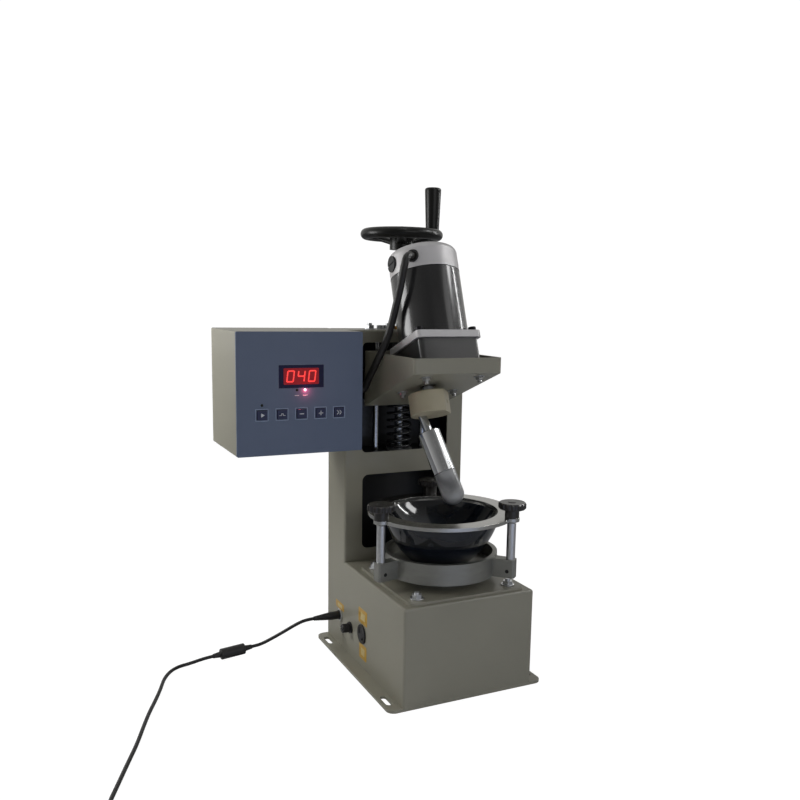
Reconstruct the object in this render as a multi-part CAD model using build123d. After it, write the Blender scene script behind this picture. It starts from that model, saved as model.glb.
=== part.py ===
"""Laboratory pestle mill: a mortar turns on a motor in the base while a tilted motor swings a
pestle round in it, on a carriage that a handwheel and a lead screw raise and lower.

Millimetres. Origin: centre of the base plate's underside. X runs to the right across the front,
Y runs to the back, Z up.
"""

import os
from math import cos, pi, radians, sin, sqrt, tan

from build123d import *

os.makedirs("parts", exist_ok=True)

# Base plate: a ledge on both sides of the housing carries the slots
base_ledge = 16
base_thick = 3
base_corner_r = 9
slot_length = 22
slot_width = 7
slot_edge = 7.5
slot_end = 26

# Sheet housing: low box in front, column behind
sheet = 2
bend_r = 3
housing_width = 160
box_depth = 175
box_top = 113
column_depth = 55
column_high = 283
cover_thick = 2
window_width = 116
window_sill = 2
window_head = 15
window_r = 6
access_width = 114
access_sill = 15
access_head = 107.5
access_r = 8

# Fits between pieces
running_gap = 0.06
free_gap = 0.3
drill_gap = 0.1

# Lift: two plates in the column, guide rods, screw and spring
screw_in_column = 20
screw_r = 6
screw_pivot_r = 5
screw_pivot_end = 2
lift_above_box = 123
lift_plate_thick = 10
lift_plate_rear_gap = 1
guide_rod_r = 4
guide_rod_half_x = 32
guide_rod_seat = 5
bearing_r = 8.3
bearing_collar_r = 10
bearing_collar_high = 4
spring_wire = 2.6
spring_outer_r = 16
spring_active_turns = 6
spring_closed_pitch = 3.1
spring_washer_r = 16.5
spring_washer_thick = 2
washer_bore_r = 7.5

# Slide block and its nut: the block stands below the tray's rim
block_half_x = 46
block_depth = 34
block_drop = 44.3
block_tall = 36
nut_body_r = 9
nut_flange_r = 13
nut_flange_thick = 4

# Fasteners on the column's top
m6_flats = 10
m6_high = 5
m6_r = 3
m6_end = 2.5
m5_r = 2.5
m5_head_r = 4.5
m5_head_high = 5
m5_key = 4
m5_key_deep = 2.5
top_nut_half_x = (17, 41)
top_screw_half_x = 27
top_thread_deep = 5

# Mortar and its turntable, stacked upward from the plate on the low box
mortar_plate_front = 5
mortar_turn = -18
mortar_plate_side = 142
mortar_plate_thick = 3
mortar_plate_r = 8
mortar_bolt = 57
spindle_bearing_r = 30
spindle_bearing_long = 30
spindle_flange_r = 36
spindle_flange_thick = 3
mortar_motor_r = 30
mortar_motor_long = 60
mortar_shaft_r = 8
shaft_in_motor = 26
shaft_in_motor_gap = 0.5
holder_hub_gap = 1
holder_hub_r = 22
holder_hub_high = 6
holder_floor = 8
holder_outer_r = 65.5
holder_inner_r = 60.3
holder_tall = 23.5
ear_width = 12.5
ear_reach = 90
ear_rise = 1
ear_drop = 1.5
post_count = 3
post_r = 5
post_circle_r = 84
post_seat = 5
post_rise = 64
stud_r = 3
stud_long = 19
clamp_gap = 1.5
clamp_thick = 4
clamp_opening_r = 65
clamp_outer_r = 84
clamp_lobe_r = 8.5
bowl_rim_r = 66
bowl_mouth_r = 62
bowl_deep = 34
bowl_edge_high = 5
bowl_belly_r = 53
bowl_belly_high = 24
bowl_foot_r = 30
knob_r = 15.5
knob_thick = 7.5
knob_stem_r = 8
knob_stem_long = 10
knob_flutes = 14
knob_flute_r = 2.4
knob_edge = 1.5

# Motor tray, hung on the slide block above the mortar
tray_half_x = 54
tray_before_mortar = 35
tray_above_clamp = 162.8
tray_rim_high = 16.7
tray_bend_r = 4
tilt = 20
shaft_hole_r = 9

# Drive: heights are measured along the tilted axis from the tray's underside
drive_behind_mortar = 9.2
gearbox_side = 74
gearbox_corner_r = 6
gearbox_top = 44
flange_side = 80
flange_corner_r = 5
flange_top = 52
gearbox_bolt_x = 33
gearbox_bolt_y = 32
gearbox_nut_flats = 8
gearbox_nut_high = 4
gearbox_bolt_end = 3
motor_r = 40
motor_top = 128
cap_top = 157
cap_edge_r = 7
cap_step = 0.8
brush_cap_r = 9.25
brush_cap_height = 142
brush_cap_deep = 5
brush_cap_proud = 1.2
brush_slot = 1.6
cable_hole_r = 5.75
cable_hole_deep = 8
cable_hole_height = 141
cable_hole_turn = 226.8

# Output shaft, head and pestle
shaft_offset_x = -12
shaft_offset_y = 8
shaft_r = 6
shaft_in_gearbox = 30
shaft_in_head = 20
head_r = 23.5
head_gap = 8
head_thick = 25
head_edge = 1
head_flat = 20
head_flat_turn = -40
head_screw_r = 2.5
rod_turn = 135
rod_offset = 11
tip_offset = 11.9
tip_drop = 124.3
pestle_r = 12.5
stone_length = 24.5
sleeve_length = 50
pestle_rod_r = 5
rod_in_head = 19
rod_in_sleeve = 40
spigot_r = 8
spigot_length = 7
sleeve_edge = 0.8

# Handwheel and grip: the rim stands clear of the motor at the carriage's highest place
rim_outer_r = 50
rim_tube_r = 6.5
rim_above_tray = 155.7
hub_r = 14.5
hub_drop = 18
hub_rise = 2
spoke_wide = 13
spoke_narrow = 9
spoke_thick = 7
spoke_turn = 5
grip_post_r = 4
grip_seat_r = 8
grip_seat_rise = 7
grip_washer_thick = 1.2
grip_rise = 8.5
grip_reach = 59
grip_low_r = 8.25
grip_high_r = 10.2
grip_wall_top = 7
grip_edge = 3

# Control box on the column's left side: panel places run from its lower left corner
control_width = 143
control_before_column = 51
control_behind_column = 61
control_high = 134
control_sheet = 1.5
panel_thick = 3
display_left = 46
display_wide = 51
display_rise = 73
display_high = 25
display_recess = 0.3
display_deep = 7
button_left = (27.3, 49.4, 71.4, 93.3, 115)
button_rise = 44.7
button_wide = 11
button_high = 10
button_proud = 1.6
button_travel = 1.2
button_flange = 1.2
button_stem_r = 2
board_gap = 10
board_thick = 1.6
board_margin = 11
spacer_margin = 4
switch_side = 6
lamp_r = 1.5
lamps = ((66.4, 70.8), (75.5, 70.8), (27.4, 55.3))
spacer_r = 2.5
gland_r = 6.5
gland_long = 4
gland_back = 34
gland_rise = 63.5

# Fittings in the left wall: distances before the rear cover, heights from the ground
jack_before_cover = 42
jack_z = 42
jack_ring_r = 6
jack_ring_proud = 2.5
jack_body_r = 5
jack_body_long = 16
plug_pin_r = 2.75
plug_pin_long = 10
plug_collar_long = 10
plug_long = 32
plug_wide_r = 5
plug_narrow_r = 2.6
fuse_before_cover = 77
fuse_z = 38
fuse_bezel_r = 7
fuse_body_r = 6
fuse_body_long = 28
fuse_cap_r = 5
fuse_cap_long = 9
fuse_stem_r = 4
fuse_stem_long = 20
fuse_slot_deep = 1.5
fuse_slot_wide = 1.4
rocker_before_cover = 114
rocker_z = 43.5
rocker_bezel_r = 11.5
rocker_body_r = 10
rocker_body_long = 20
bezel_proud = 2
rocker_r = 7.2
rocker_wide = 11
rocker_axis_in = 2
rocker_lean = 10

# Motor cable: hangs from the end cap past the tray, then turns back to the control box.
# The upper points give X, how far behind the drive and how far above the tray's rim;
# the lower points give X, how far behind the gland and how far above it.
cable_r = 3.5
cable_out = 24
cable_upper = [
    (-43.5, 10.8, 110.7),
    (-46, 15.8, 90.7),
    (-47.8, 24.8, 69.7),
    (-50.5, 32.8, 48.7),
    (-54.5, 36.8, 30.7),
    (-58.7, 39.8, 13.2),
]
cable_lower = [(-60.5, -21, 26.5), (-61.5, -9, 14), (-62.5, 0, 0)]

# Low voltage lead: from the plug over the choke to the coil and the adapter.
# A point gives how far left of the wall, how far behind the jack and how high.
lead_r = 2
lead_rest = 2.2
lead_near = [
    (45.5, 0, 42),
    (57.5, 3, 36.5),
    (69.5, 8.5, 28),
    (82, 15.5, 19),
    (95.15, 21.45, 10.875),
]
choke_near = (107, 20.8, 10.1)
choke_far = (154.4, 18.2, 7)
choke_r = 6.5
choke_body_long = 30
lead_far = [
    (166.25, 17.55, 6.225),
    (182, 19.5, lead_rest),
    (195, 16.5, lead_rest),
    (206, 7.5, lead_rest),
    (216, -10, lead_rest),
    (223.5, -34, lead_rest),
    (233, -59.5, lead_rest),
    (243.5, -85.5, lead_rest),
    (253, -113, lead_rest),
    (263.5, -145, lead_rest),
    (276.5, -178, lead_rest),
    (289, -211, lead_rest),
]
coil_turns = 4.25
coil_outer_r = 26.4
coil_step = 4.6
coil_layer = 4.6
coil_middle = (327.4, -280, 0)
coil_run_in = 34
adapter_long = 100
adapter_wide = 42
adapter_high = 26
adapter_boot_long = 27
adapter_boot_r = 4.5
adapter_edge_r = 4
adapter_inlet_wide = 20
adapter_inlet_high = 12
adapter_inlet_deep = 14

# Places in the plan, worked out from the sizes above
base_width = housing_width + 2 * base_ledge
base_depth = box_depth + column_depth + cover_thick
slot_half_x = base_width / 2 - slot_edge
slot_half_y = base_depth / 2 - slot_end
wall_x = housing_width / 2
housing_front_y = -base_depth / 2
column_front_y = housing_front_y + box_depth
housing_back_y = column_front_y + column_depth
screw_y = column_front_y + screw_in_column
block_front_y = screw_y - block_depth / 2
mortar_y = housing_front_y + mortar_plate_front + mortar_plate_side / 2
mortar_centre = (0, mortar_y)
tray_front_y = mortar_y - tray_before_mortar
drive_y = mortar_y + drive_behind_mortar
jack_y = housing_back_y - jack_before_cover
fuse_y = housing_back_y - fuse_before_cover
rocker_y = housing_back_y - rocker_before_cover

# Heights, worked out from the sizes above
column_top = box_top + column_high
lift_plate_low = box_top + lift_above_box
lift_bottom_high = lift_plate_low + lift_plate_thick
lift_top_low = column_top - sheet - lift_plate_thick
window_low = lift_bottom_high + window_sill
window_high = column_top - window_head
access_low = box_top + access_sill
access_high = box_top + access_head
plate_top = box_top + mortar_plate_thick
spindle_bearing_low = plate_top - spindle_bearing_long
mortar_motor_low = spindle_bearing_low - mortar_motor_long
mortar_shaft_low = spindle_bearing_low - shaft_in_motor
holder_hub_low = plate_top + spindle_flange_thick + holder_hub_gap
holder_low = holder_hub_low + holder_hub_high
holder_high = holder_low + holder_tall
ear_low = holder_low + ear_rise
ear_high = holder_high - ear_drop
post_low = holder_low + post_seat
post_high = holder_low + post_rise
stud_high = post_high + stud_long
clamp_low = post_high + clamp_gap
knob_low = clamp_low + clamp_thick + knob_stem_long
knob_high = knob_low + knob_thick
tray_lip_low = clamp_low + tray_above_clamp
tray_top = tray_lip_low + tray_rim_high
block_low = tray_lip_low - block_drop
block_high = block_low + block_tall
rim_z = tray_lip_low + rim_above_tray
hub_low = rim_z - hub_drop
hub_high = rim_z + hub_rise
grip_seat_z = rim_z + grip_seat_rise
grip_low = rim_z + grip_rise
grip_high = rim_z + grip_reach

# The drive's own plane: Z up the motor, origin on the tray's underside
head_top = -head_gap
drive_slope = tan(radians(tilt))
drive_z = tray_lip_low - (drive_y - tray_front_y) * drive_slope
drive_axis = Vector(0, sin(radians(tilt)), cos(radians(tilt)))
drive_plane = Plane(origin=(0, drive_y, drive_z), x_dir=(1, 0, 0), z_dir=drive_axis)
post_angles = [mortar_turn - 30 + 360 / post_count * i for i in range(post_count)]

# The control box's faces and the places on its panel
control_front_y = column_front_y - control_before_column
control_back_y = column_front_y + control_behind_column
control_right = -wall_x
control_left = control_right - control_width
control_top = column_top
control_low = control_top - control_high
panel_front_y = control_front_y - panel_thick
board_y = control_front_y + board_gap
display_x = (control_left + display_left, control_left + display_left + display_wide)
display_z = (control_low + display_rise, control_low + display_rise + display_high)
button_x = [control_left + place for place in button_left]
button_z = control_low + button_rise
lamp_places = [(control_left + x, control_low + z) for x, z in lamps]
gland_y = control_front_y + gland_back
gland_z = control_low + gland_rise


def block(x0, x1, y0, y1, z0, z1):
    """A block between two opposite corners."""
    return Pos((x0 + x1) / 2, (y0 + y1) / 2, (z0 + z1) / 2) * Box(x1 - x0, y1 - y0, z1 - z0)


def upright(radius, z0, z1, at=(0, 0)):
    """A round bar along Z from one height to another."""
    return Pos(at[0], at[1], (z0 + z1) / 2) * Cylinder(radius, z1 - z0)


def along_x(radius, x0, x1, y, z):
    """A round bar along X."""
    return Pos((x0 + x1) / 2, y, z) * Rot(0, 90, 0) * Cylinder(radius, x1 - x0)


def along_y(radius, y0, y1, x, z):
    """A round bar along Y."""
    return Pos(x, (y0 + y1) / 2, z) * Rot(90, 0, 0) * Cylinder(radius, y1 - y0)


def rounded_plate(width, depth, corner, z0, z1, at=(0, 0)):
    """A flat plate with rounded corners."""
    return Pos(at[0], at[1], z0) * extrude(RectangleRounded(width, depth, corner), z1 - z0)


def front_window(x0, x1, z0, z1, corner, y0, y1):
    """A cutter with rounded corners that goes through a wall which faces the front."""
    outline = Plane.XZ * Pos((x0 + x1) / 2, (z0 + z1) / 2) * RectangleRounded(x1 - x0, z1 - z0, corner)
    return Pos(0, y1, 0) * extrude(outline, y1 - y0)


def hexagon_bar(flats, z0, z1, at=(0, 0)):
    """A hexagon bar along Z, such as a nut."""
    outline = RegularPolygon(flats / 2, 6, major_radius=False)
    return Pos(at[0], at[1], z0) * extrude(outline, z1 - z0)


def side_profile(points, half_x):
    """A solid across X from an outline in Y and Z."""
    outline = make_face(Polyline(*[(0, y, z) for y, z in points], close=True))
    return extrude(outline, half_x, dir=(1, 0, 0), both=True)


def turned(points, at=(0, 0)):
    """A solid turned about Z from an outline of radius and height."""
    outline = make_face(Polyline(*[(r, 0, z) for r, z in points], close=True))
    return Pos(at[0], at[1], 0) * revolve(outline, Axis.Z)


def on_circle(radius, angle, centre=(0, 0)):
    """A point on a circle, as X and Y."""
    return (centre[0] + radius * cos(radians(angle)), centre[1] + radius * sin(radians(angle)))


def corners(half_x, half_y, at=(0, 0)):
    """The four corners of a rectangle."""
    return [(at[0] + i * half_x, at[1] + j * half_y) for i in (-1, 1) for j in (-1, 1)]


def together(pieces):
    """One shape from several pieces, which may lie apart."""
    result = pieces[0]
    for piece in pieces[1:]:
        result = result + piece
    return result


def bend_radii(points):
    """The largest smooth radius at each inner point of a route."""
    radii = []
    for before, here, after in zip(points, points[1:], points[2:]):
        run_in = Vector(*here) - Vector(*before)
        run_out = Vector(*after) - Vector(*here)
        half_turn = radians(run_in.get_angle(run_out)) / 2
        radii.append(0.45 * min(run_in.length, run_out.length) / tan(half_turn))
    return radii


def route_tube(name, points, radius):
    """A round tube along straight runs that are joined by tangent arcs."""
    radii = bend_radii(points)
    path = FilletPolyline(*points, radius=radii)
    start = Plane(origin=path @ 0, z_dir=path % 0)
    tube = sweep(start * Circle(radius), path=path)
    print(name, "radii", [round(r, 1) for r in radii])
    print(name, "length", round(path.length, 1), "volume", round(tube.volume / (pi * radius**2), 1))
    return tube


def two_arcs(p0, t0, p1, t1):
    """Two arcs that meet smoothly and leave both ends along the given directions."""
    v = p1 - p0
    t = t0 + t1
    spread = 2 * (1 - t0.dot(t1))
    reach = (-v.dot(t) + sqrt(v.dot(t) ** 2 + spread * v.dot(v))) / spread
    middle = (p0 + t0 * reach + p1 - t1 * reach) * 0.5
    return [
        Edge.make_tangent_arc(p0, t0, middle),
        Edge.make_tangent_arc(p1, t1 * -1, middle),
    ]


def winding_point(place, turn, side):
    """A point of a winding about Z: place gives radius and height at each turn."""
    ring_r, height = place(turn)
    angle = side * 2 * pi * turn
    return Vector(ring_r * cos(angle), ring_r * sin(angle), height)


def winding_heading(place, turn, turns, side):
    """The direction in which a winding runs at a turn."""
    reach = 1e-3
    near = min(max(turn, reach), turns - reach)
    ahead = winding_point(place, near + reach, side)
    return (ahead - winding_point(place, near - reach, side)).normalized()


def least_gap(points, per_turn, radius):
    """The least gap between stretches of a winding that lie at least half a turn apart."""
    spans = [
        (points[i] - points[j]).length
        for i in range(len(points))
        for j in range(i + per_turn // 2, len(points))
    ]
    return min(spans) - 2 * radius


def wound_tube(name, place, turns, radius, side, straight):
    """One unbroken tube wound about Z in half turns of two arcs, with straight ends if asked."""
    count = round(turns * 2)
    stops = [turns * i / count for i in range(count + 1)]
    points = [winding_point(place, stop, side) for stop in stops]
    headings = [winding_heading(place, stop, turns, side) for stop in stops]
    edges = []
    for i in range(count):
        edges += two_arcs(points[i], headings[i], points[i + 1], headings[i + 1])
    if straight:
        first = points[0] - headings[0] * straight
        last = points[-1] + headings[-1] * straight
        edges = [Edge.make_line(first, points[0])] + edges + [Edge.make_line(points[-1], last)]
    path = Wire(edges)
    tube = sweep(Plane(origin=path @ 0, z_dir=path % 0) * Circle(radius), path=path)
    per_turn = 36
    samples = [winding_point(place, i / per_turn, side) for i in range(round(turns * per_turn) + 1)]
    print(name, "least gap to itself", round(least_gap(samples, per_turn, radius), 2))
    return tube


def make_base_plate():
    plate = rounded_plate(base_width, base_depth, base_corner_r, 0, base_thick)
    slot = extrude(SlotOverall(slot_length, slot_width, rotation=90), base_thick)
    for x, y in corners(slot_half_x, slot_half_y):
        plate -= Pos(x, y, 0) * slot
    return plate


def bent_edges(shape):
    """The two front corners and the top edges, except the one at the back."""
    front_corners = shape.edges().filter_by(Axis.Z).group_by(Axis.Y)[0]
    return front_corners + shape.edges().group_by(Axis.Z)[-1].sort_by(Axis.Y)[:-1]


def make_housing():
    """Outer skin less the space inside it; the back stays open for the cover."""
    box = block(-wall_x, wall_x, housing_front_y, housing_back_y, base_thick, box_top)
    box = fillet(bent_edges(box), bend_r)
    column = block(-wall_x, wall_x, column_front_y, housing_back_y, base_thick, column_top)
    column = fillet(bent_edges(column), bend_r)
    inner_x = wall_x - sheet
    inner_box = block(
        -inner_x, inner_x, housing_front_y + sheet, housing_back_y, base_thick, box_top - sheet
    )
    inner_column = block(
        -inner_x, inner_x, column_front_y + sheet, housing_back_y, base_thick, column_top - sheet
    )
    shell = (box + column) - inner_box - inner_column
    wall = (column_front_y - 1, column_front_y + sheet + 1)
    half = window_width / 2
    shell -= front_window(-half, half, window_low, window_high, window_r, *wall)
    half = access_width / 2
    shell -= front_window(-half, half, access_low, access_high, access_r, *wall)
    shell -= upright(spindle_bearing_r, box_top - sheet, box_top, mortar_centre)
    for place in corners(mortar_bolt, mortar_bolt, mortar_centre):
        shell -= upright(m6_r + drill_gap, box_top - sheet, box_top, place)
    shell -= upright(bearing_r, column_top - sheet, column_top, (0, screw_y))
    for x in top_nut_half_x:
        for side in (-1, 1):
            shell -= upright(m6_r + drill_gap, column_top - sheet, column_top, (side * x, screw_y))
    for side in (-1, 1):
        place = (side * top_screw_half_x, screw_y)
        shell -= upright(m5_r + drill_gap, column_top - sheet, column_top, place)
    shell -= along_x(jack_body_r, -wall_x, -wall_x + sheet, jack_y, jack_z)
    shell -= along_x(fuse_body_r, -wall_x, -wall_x + sheet, fuse_y, fuse_z)
    shell -= along_x(rocker_body_r, -wall_x, -wall_x + sheet, rocker_y, rocker_z)
    return shell


def make_rear_cover():
    cover = block(-wall_x, wall_x, housing_back_y, base_depth / 2, base_thick, column_top)
    return fillet(cover.edges().filter_by(Axis.Y).group_by(Axis.Z)[-1], bend_r)


def make_lift_plates():
    """The lower plate carries the screw's pivot, the upper one its bearing."""
    inner_x = wall_x - sheet
    front = column_front_y + sheet
    back = housing_back_y - lift_plate_rear_gap
    lower = block(-inner_x, inner_x, front, back, lift_plate_low, lift_bottom_high)
    upper = block(-inner_x, inner_x, front, back, lift_top_low, column_top - sheet)
    lower -= upright(screw_pivot_r + running_gap, lift_plate_low, lift_bottom_high, (0, screw_y))
    upper -= upright(bearing_r, lift_top_low, column_top, (0, screw_y))
    for side in (-1, 1):
        place = (side * guide_rod_half_x, screw_y)
        lower -= upright(guide_rod_r, lift_bottom_high - guide_rod_seat, lift_bottom_high, place)
        upper -= upright(guide_rod_r, lift_top_low, lift_top_low + guide_rod_seat, place)
        place = (side * top_screw_half_x, screw_y)
        upper -= upright(m5_r, column_top - sheet - top_thread_deep + 1, column_top, place)
        for x in top_nut_half_x:
            upper -= upright(m6_r, column_top - sheet - top_thread_deep, column_top, (side * x, screw_y))
    return lower + upper


def make_guide_rods():
    low = lift_bottom_high - guide_rod_seat
    high = lift_top_low + guide_rod_seat
    return together([upright(guide_rod_r, low, high, (s * guide_rod_half_x, screw_y)) for s in (-1, 1)])


def socket_screw(radius, head_r, head_high, low, seat, key, key_deep, at):
    """A cap screw with a hexagon socket, head upward on its seat."""
    screw = upright(radius, low, seat, at) + upright(head_r, seat, seat + head_high, at)
    return screw - hexagon_bar(key, seat + head_high - key_deep, seat + head_high, at)


def make_top_fasteners():
    pieces = []
    for side in (-1, 1):
        for x in top_nut_half_x:
            place = (side * x, screw_y)
            nut = hexagon_bar(m6_flats, column_top, column_top + m6_high, place)
            low = column_top - sheet - top_thread_deep
            pieces.append(nut + upright(m6_r, low, column_top + m6_high + m6_end, place))
        place = (side * top_screw_half_x, screw_y)
        low = column_top - sheet - top_thread_deep + 1
        pieces.append(
            socket_screw(m5_r, m5_head_r, m5_head_high, low, column_top, m5_key, m5_key_deep, place)
        )
    return together(pieces)


def make_screw_bearing():
    bush = upright(bearing_r, lift_top_low, column_top, (0, screw_y))
    bush += upright(bearing_collar_r, column_top, column_top + bearing_collar_high, (0, screw_y))
    top = column_top + bearing_collar_high
    return bush - upright(screw_r + running_gap, lift_top_low, top, (0, screw_y))


def make_spring_washer():
    low = lift_bottom_high
    washer = upright(spring_washer_r, low, low + spring_washer_thick, (0, screw_y))
    return washer - upright(washer_bore_r, low, low + spring_washer_thick, (0, screw_y))


def make_pressure_spring():
    """One closed turn at each end and open turns between them."""
    wire_r = spring_wire / 2
    low = lift_bottom_high + spring_washer_thick + wire_r
    high = block_low - wire_r
    open_pitch = (high - low - 2 * spring_closed_pitch) / spring_active_turns
    turns = spring_active_turns + 2

    def place(turn):
        opened = min(max(turn - 1, 0), spring_active_turns)
        height = low + (turn - opened) * spring_closed_pitch + opened * open_pitch
        return spring_outer_r - wire_r, height

    coil = wound_tube("pressure_spring", place, turns, wire_r, 1, 0)
    return Pos(0, screw_y, 0) * coil


def make_slide_block():
    body = block(
        -block_half_x, block_half_x, block_front_y, block_front_y + block_depth, block_low, block_high
    )
    body = chamfer(body.edges().filter_by(Axis.Z), 1)
    body -= upright(nut_body_r, block_low, block_high, (0, screw_y))
    for side in (-1, 1):
        place = (side * guide_rod_half_x, screw_y)
        body -= upright(guide_rod_r + running_gap, block_low, block_high, place)
    return body


def make_screw_nut():
    nut = upright(nut_body_r, block_low, block_high, (0, screw_y))
    nut += upright(nut_flange_r, block_high, block_high + nut_flange_thick, (0, screw_y))
    return nut - upright(screw_r + running_gap, block_low, block_high + nut_flange_thick, (0, screw_y))


def make_motor_tray():
    """Open tray of sheet: level rim, floor that falls to the back, back plate on the slide block."""
    fall = sheet / cos(radians(tilt))
    back_low = tray_lip_low - (block_front_y - tray_front_y) * drive_slope
    outside = [
        (tray_front_y, tray_lip_low),
        (tray_front_y, tray_top),
        (block_front_y, tray_top),
        (block_front_y, back_low),
    ]
    inside = [
        (tray_front_y + sheet, tray_lip_low + fall - sheet * drive_slope),
        (tray_front_y + sheet, tray_top + 1),
        (block_front_y - sheet, tray_top + 1),
        (block_front_y - sheet, back_low + fall + sheet * drive_slope),
    ]
    tray = side_profile(outside, tray_half_x)
    tray = fillet(tray.edges().filter_by(Axis.Z).group_by(Axis.Y)[0], tray_bend_r)
    tray -= side_profile(inside, tray_half_x - sheet)
    holes = upright(shaft_hole_r, -1, sheet + 1, (shaft_offset_x, shaft_offset_y))
    for place in corners(gearbox_bolt_x, gearbox_bolt_y):
        holes += upright(m5_r + drill_gap, -1, sheet + 1, place)
    return tray - drive_plane * holes


def bolt_holes(z0, z1):
    """The four drillings for the long gearbox bolts."""
    places = corners(gearbox_bolt_x, gearbox_bolt_y)
    return together([upright(m5_r + drill_gap, z0, z1, place) for place in places])


def make_gearbox():
    body = rounded_plate(gearbox_side, gearbox_side, gearbox_corner_r, sheet, gearbox_top)
    bore = upright(
        shaft_r + running_gap, sheet, sheet + shaft_in_gearbox, (shaft_offset_x, shaft_offset_y)
    )
    return drive_plane * (body - bore - bolt_holes(sheet, gearbox_top))


def make_gearbox_flange():
    plate = rounded_plate(flange_side, flange_side, flange_corner_r, gearbox_top, flange_top)
    return drive_plane * (plate - bolt_holes(gearbox_top, flange_top))


def make_gearbox_bolts():
    pieces = []
    low = -gearbox_nut_high - gearbox_bolt_end
    for place in corners(gearbox_bolt_x, gearbox_bolt_y):
        bolt = socket_screw(
            m5_r, m5_head_r, m5_head_high, low, flange_top, m5_key, m5_key_deep, place
        )
        pieces.append(bolt + hexagon_bar(gearbox_nut_flats, -gearbox_nut_high, 0, place))
    return drive_plane * together(pieces)


def make_motor_body():
    body = upright(motor_r, flange_top, motor_top)
    return drive_plane * chamfer(body.edges().group_by(Axis.Z)[-1], cap_step)


def make_motor_end_cap():
    """Rounded cap with pockets for the brush caps and a blind hole for the cable."""
    cap = upright(motor_r, motor_top, cap_top)
    cap = fillet(cap.edges().group_by(Axis.Z)[-1], cap_edge_r)
    for side in (-1, 1):
        cap -= brush_pocket(side)
    hole = Rot(0, 0, cable_hole_turn) * along_x(
        cable_hole_r, motor_r - cable_hole_deep, motor_r + 5, 0, cable_hole_height
    )
    return drive_plane * (cap - hole)


def brush_pocket(side):
    """The round seat of one brush cap."""
    ends = sorted([side * (motor_r - brush_cap_deep), side * (motor_r + brush_cap_proud)])
    return along_x(brush_cap_r, ends[0], ends[1], 0, brush_cap_height)


def make_brush_caps():
    pieces = []
    for side in (-1, 1):
        cap = brush_pocket(side)
        face = side * (motor_r + brush_cap_proud)
        half = brush_slot / 2
        ends = sorted([face, face - side * half])
        cap -= block(
            ends[0], ends[1], -brush_cap_r, brush_cap_r, brush_cap_height - half, brush_cap_height + half
        )
        pieces.append(cap)
    return drive_plane * together(pieces)


def make_output_shaft():
    low = head_top - shaft_in_head
    high = sheet + shaft_in_gearbox - free_gap
    return drive_plane * upright(shaft_r, low, high, (shaft_offset_x, shaft_offset_y))


def pestle_axis():
    """The pestle's own plane: origin at the centre of its round tip, Z up the rod."""
    shaft = (shaft_offset_x, shaft_offset_y)
    tip = on_circle(-tip_offset, rod_turn, shaft)
    top = on_circle(rod_offset, rod_turn, shaft)
    head_low = head_top - head_thick
    start = drive_plane.from_local_coords(Vector(tip[0], tip[1], -tip_drop))
    end = drive_plane.from_local_coords(Vector(top[0], top[1], head_low))
    return Plane(origin=start, x_dir=(1, 0, 0), z_dir=end - start), (end - start).length


def make_eccentric_head():
    """Round block that carries the pestle rod aslant beside the shaft."""
    centre = (shaft_offset_x, shaft_offset_y)
    low = head_top - head_thick
    head = upright(head_r, low, head_top, centre)
    head = chamfer(head.edges(), head_edge)
    flat = Pos(centre[0], centre[1], 0) * Rot(0, 0, head_flat_turn)
    head -= flat * block(head_flat, head_r + 1, -head_r, head_r, low - 1, head_top + 1)
    middle = (low + head_top) / 2
    head -= flat * along_x(head_screw_r, shaft_r, head_flat, 0, middle)
    head -= upright(shaft_r, head_top - shaft_in_head, head_top, centre)
    plane, reach = pestle_axis()
    return drive_plane * head - plane * upright(pestle_rod_r, reach - head_thick, reach + rod_in_head)


def make_pestle_rod():
    plane, reach = pestle_axis()
    low = stone_length + sleeve_length - rod_in_sleeve
    return plane * upright(pestle_rod_r, low, reach + rod_in_head)


def make_pestle_sleeve():
    plane = pestle_axis()[0]
    top = stone_length + sleeve_length
    sleeve = chamfer(upright(pestle_r, stone_length, top).edges(), sleeve_edge)
    sleeve -= upright(pestle_rod_r, top - rod_in_sleeve, top)
    return plane * (sleeve - upright(spigot_r, stone_length, stone_length + spigot_length))


def make_pestle():
    plane = pestle_axis()[0]
    stone = upright(pestle_r, 0, stone_length) + Sphere(pestle_r)
    return plane * (stone + upright(spigot_r, 0, stone_length + spigot_length))


def make_lead_screw():
    screw = upright(screw_r, lift_bottom_high + free_gap, hub_high, (0, screw_y))
    pivot_low = lift_plate_low + screw_pivot_end
    return screw + upright(screw_pivot_r, pivot_low, lift_bottom_high + free_gap, (0, screw_y))


def make_handwheel():
    """Dished wheel: round rim, three spokes that rise from the hub, seat for the grip's post."""
    mean_r = rim_outer_r - rim_tube_r
    wheel = Pos(0, 0, rim_z) * Torus(mean_r, rim_tube_r)
    hub = upright(hub_r, hub_low, hub_high)
    wheel += chamfer(hub.edges().group_by(Axis.Z)[-1], 1)
    hub_mid = (hub_low + hub_high) / 2 - 2
    rise = rim_z - hub_mid
    for i in range(3):
        inner = Plane(origin=(hub_r / 2, 0, hub_mid), x_dir=(0, 1, 0), z_dir=(mean_r - hub_r / 2, 0, rise))
        outer = Plane(origin=(mean_r, 0, rim_z), x_dir=(0, 1, 0), z_dir=inner.z_dir)
        spoke = loft(
            [
                inner * RectangleRounded(spoke_wide, spoke_thick, spoke_thick / 2 - 0.5),
                outer * RectangleRounded(spoke_narrow, spoke_thick, spoke_thick / 2 - 0.5),
            ]
        )
        wheel += Rot(0, 0, spoke_turn + 120 * i) * spoke
    grip = on_circle(mean_r, spoke_turn)
    wheel += upright(grip_seat_r, rim_z, grip_seat_z, grip)
    wheel -= upright(grip_post_r, rim_z - rim_tube_r, grip_seat_z, grip)
    wheel -= upright(screw_r, hub_low, hub_high)
    return Pos(0, screw_y, 0) * wheel


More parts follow.
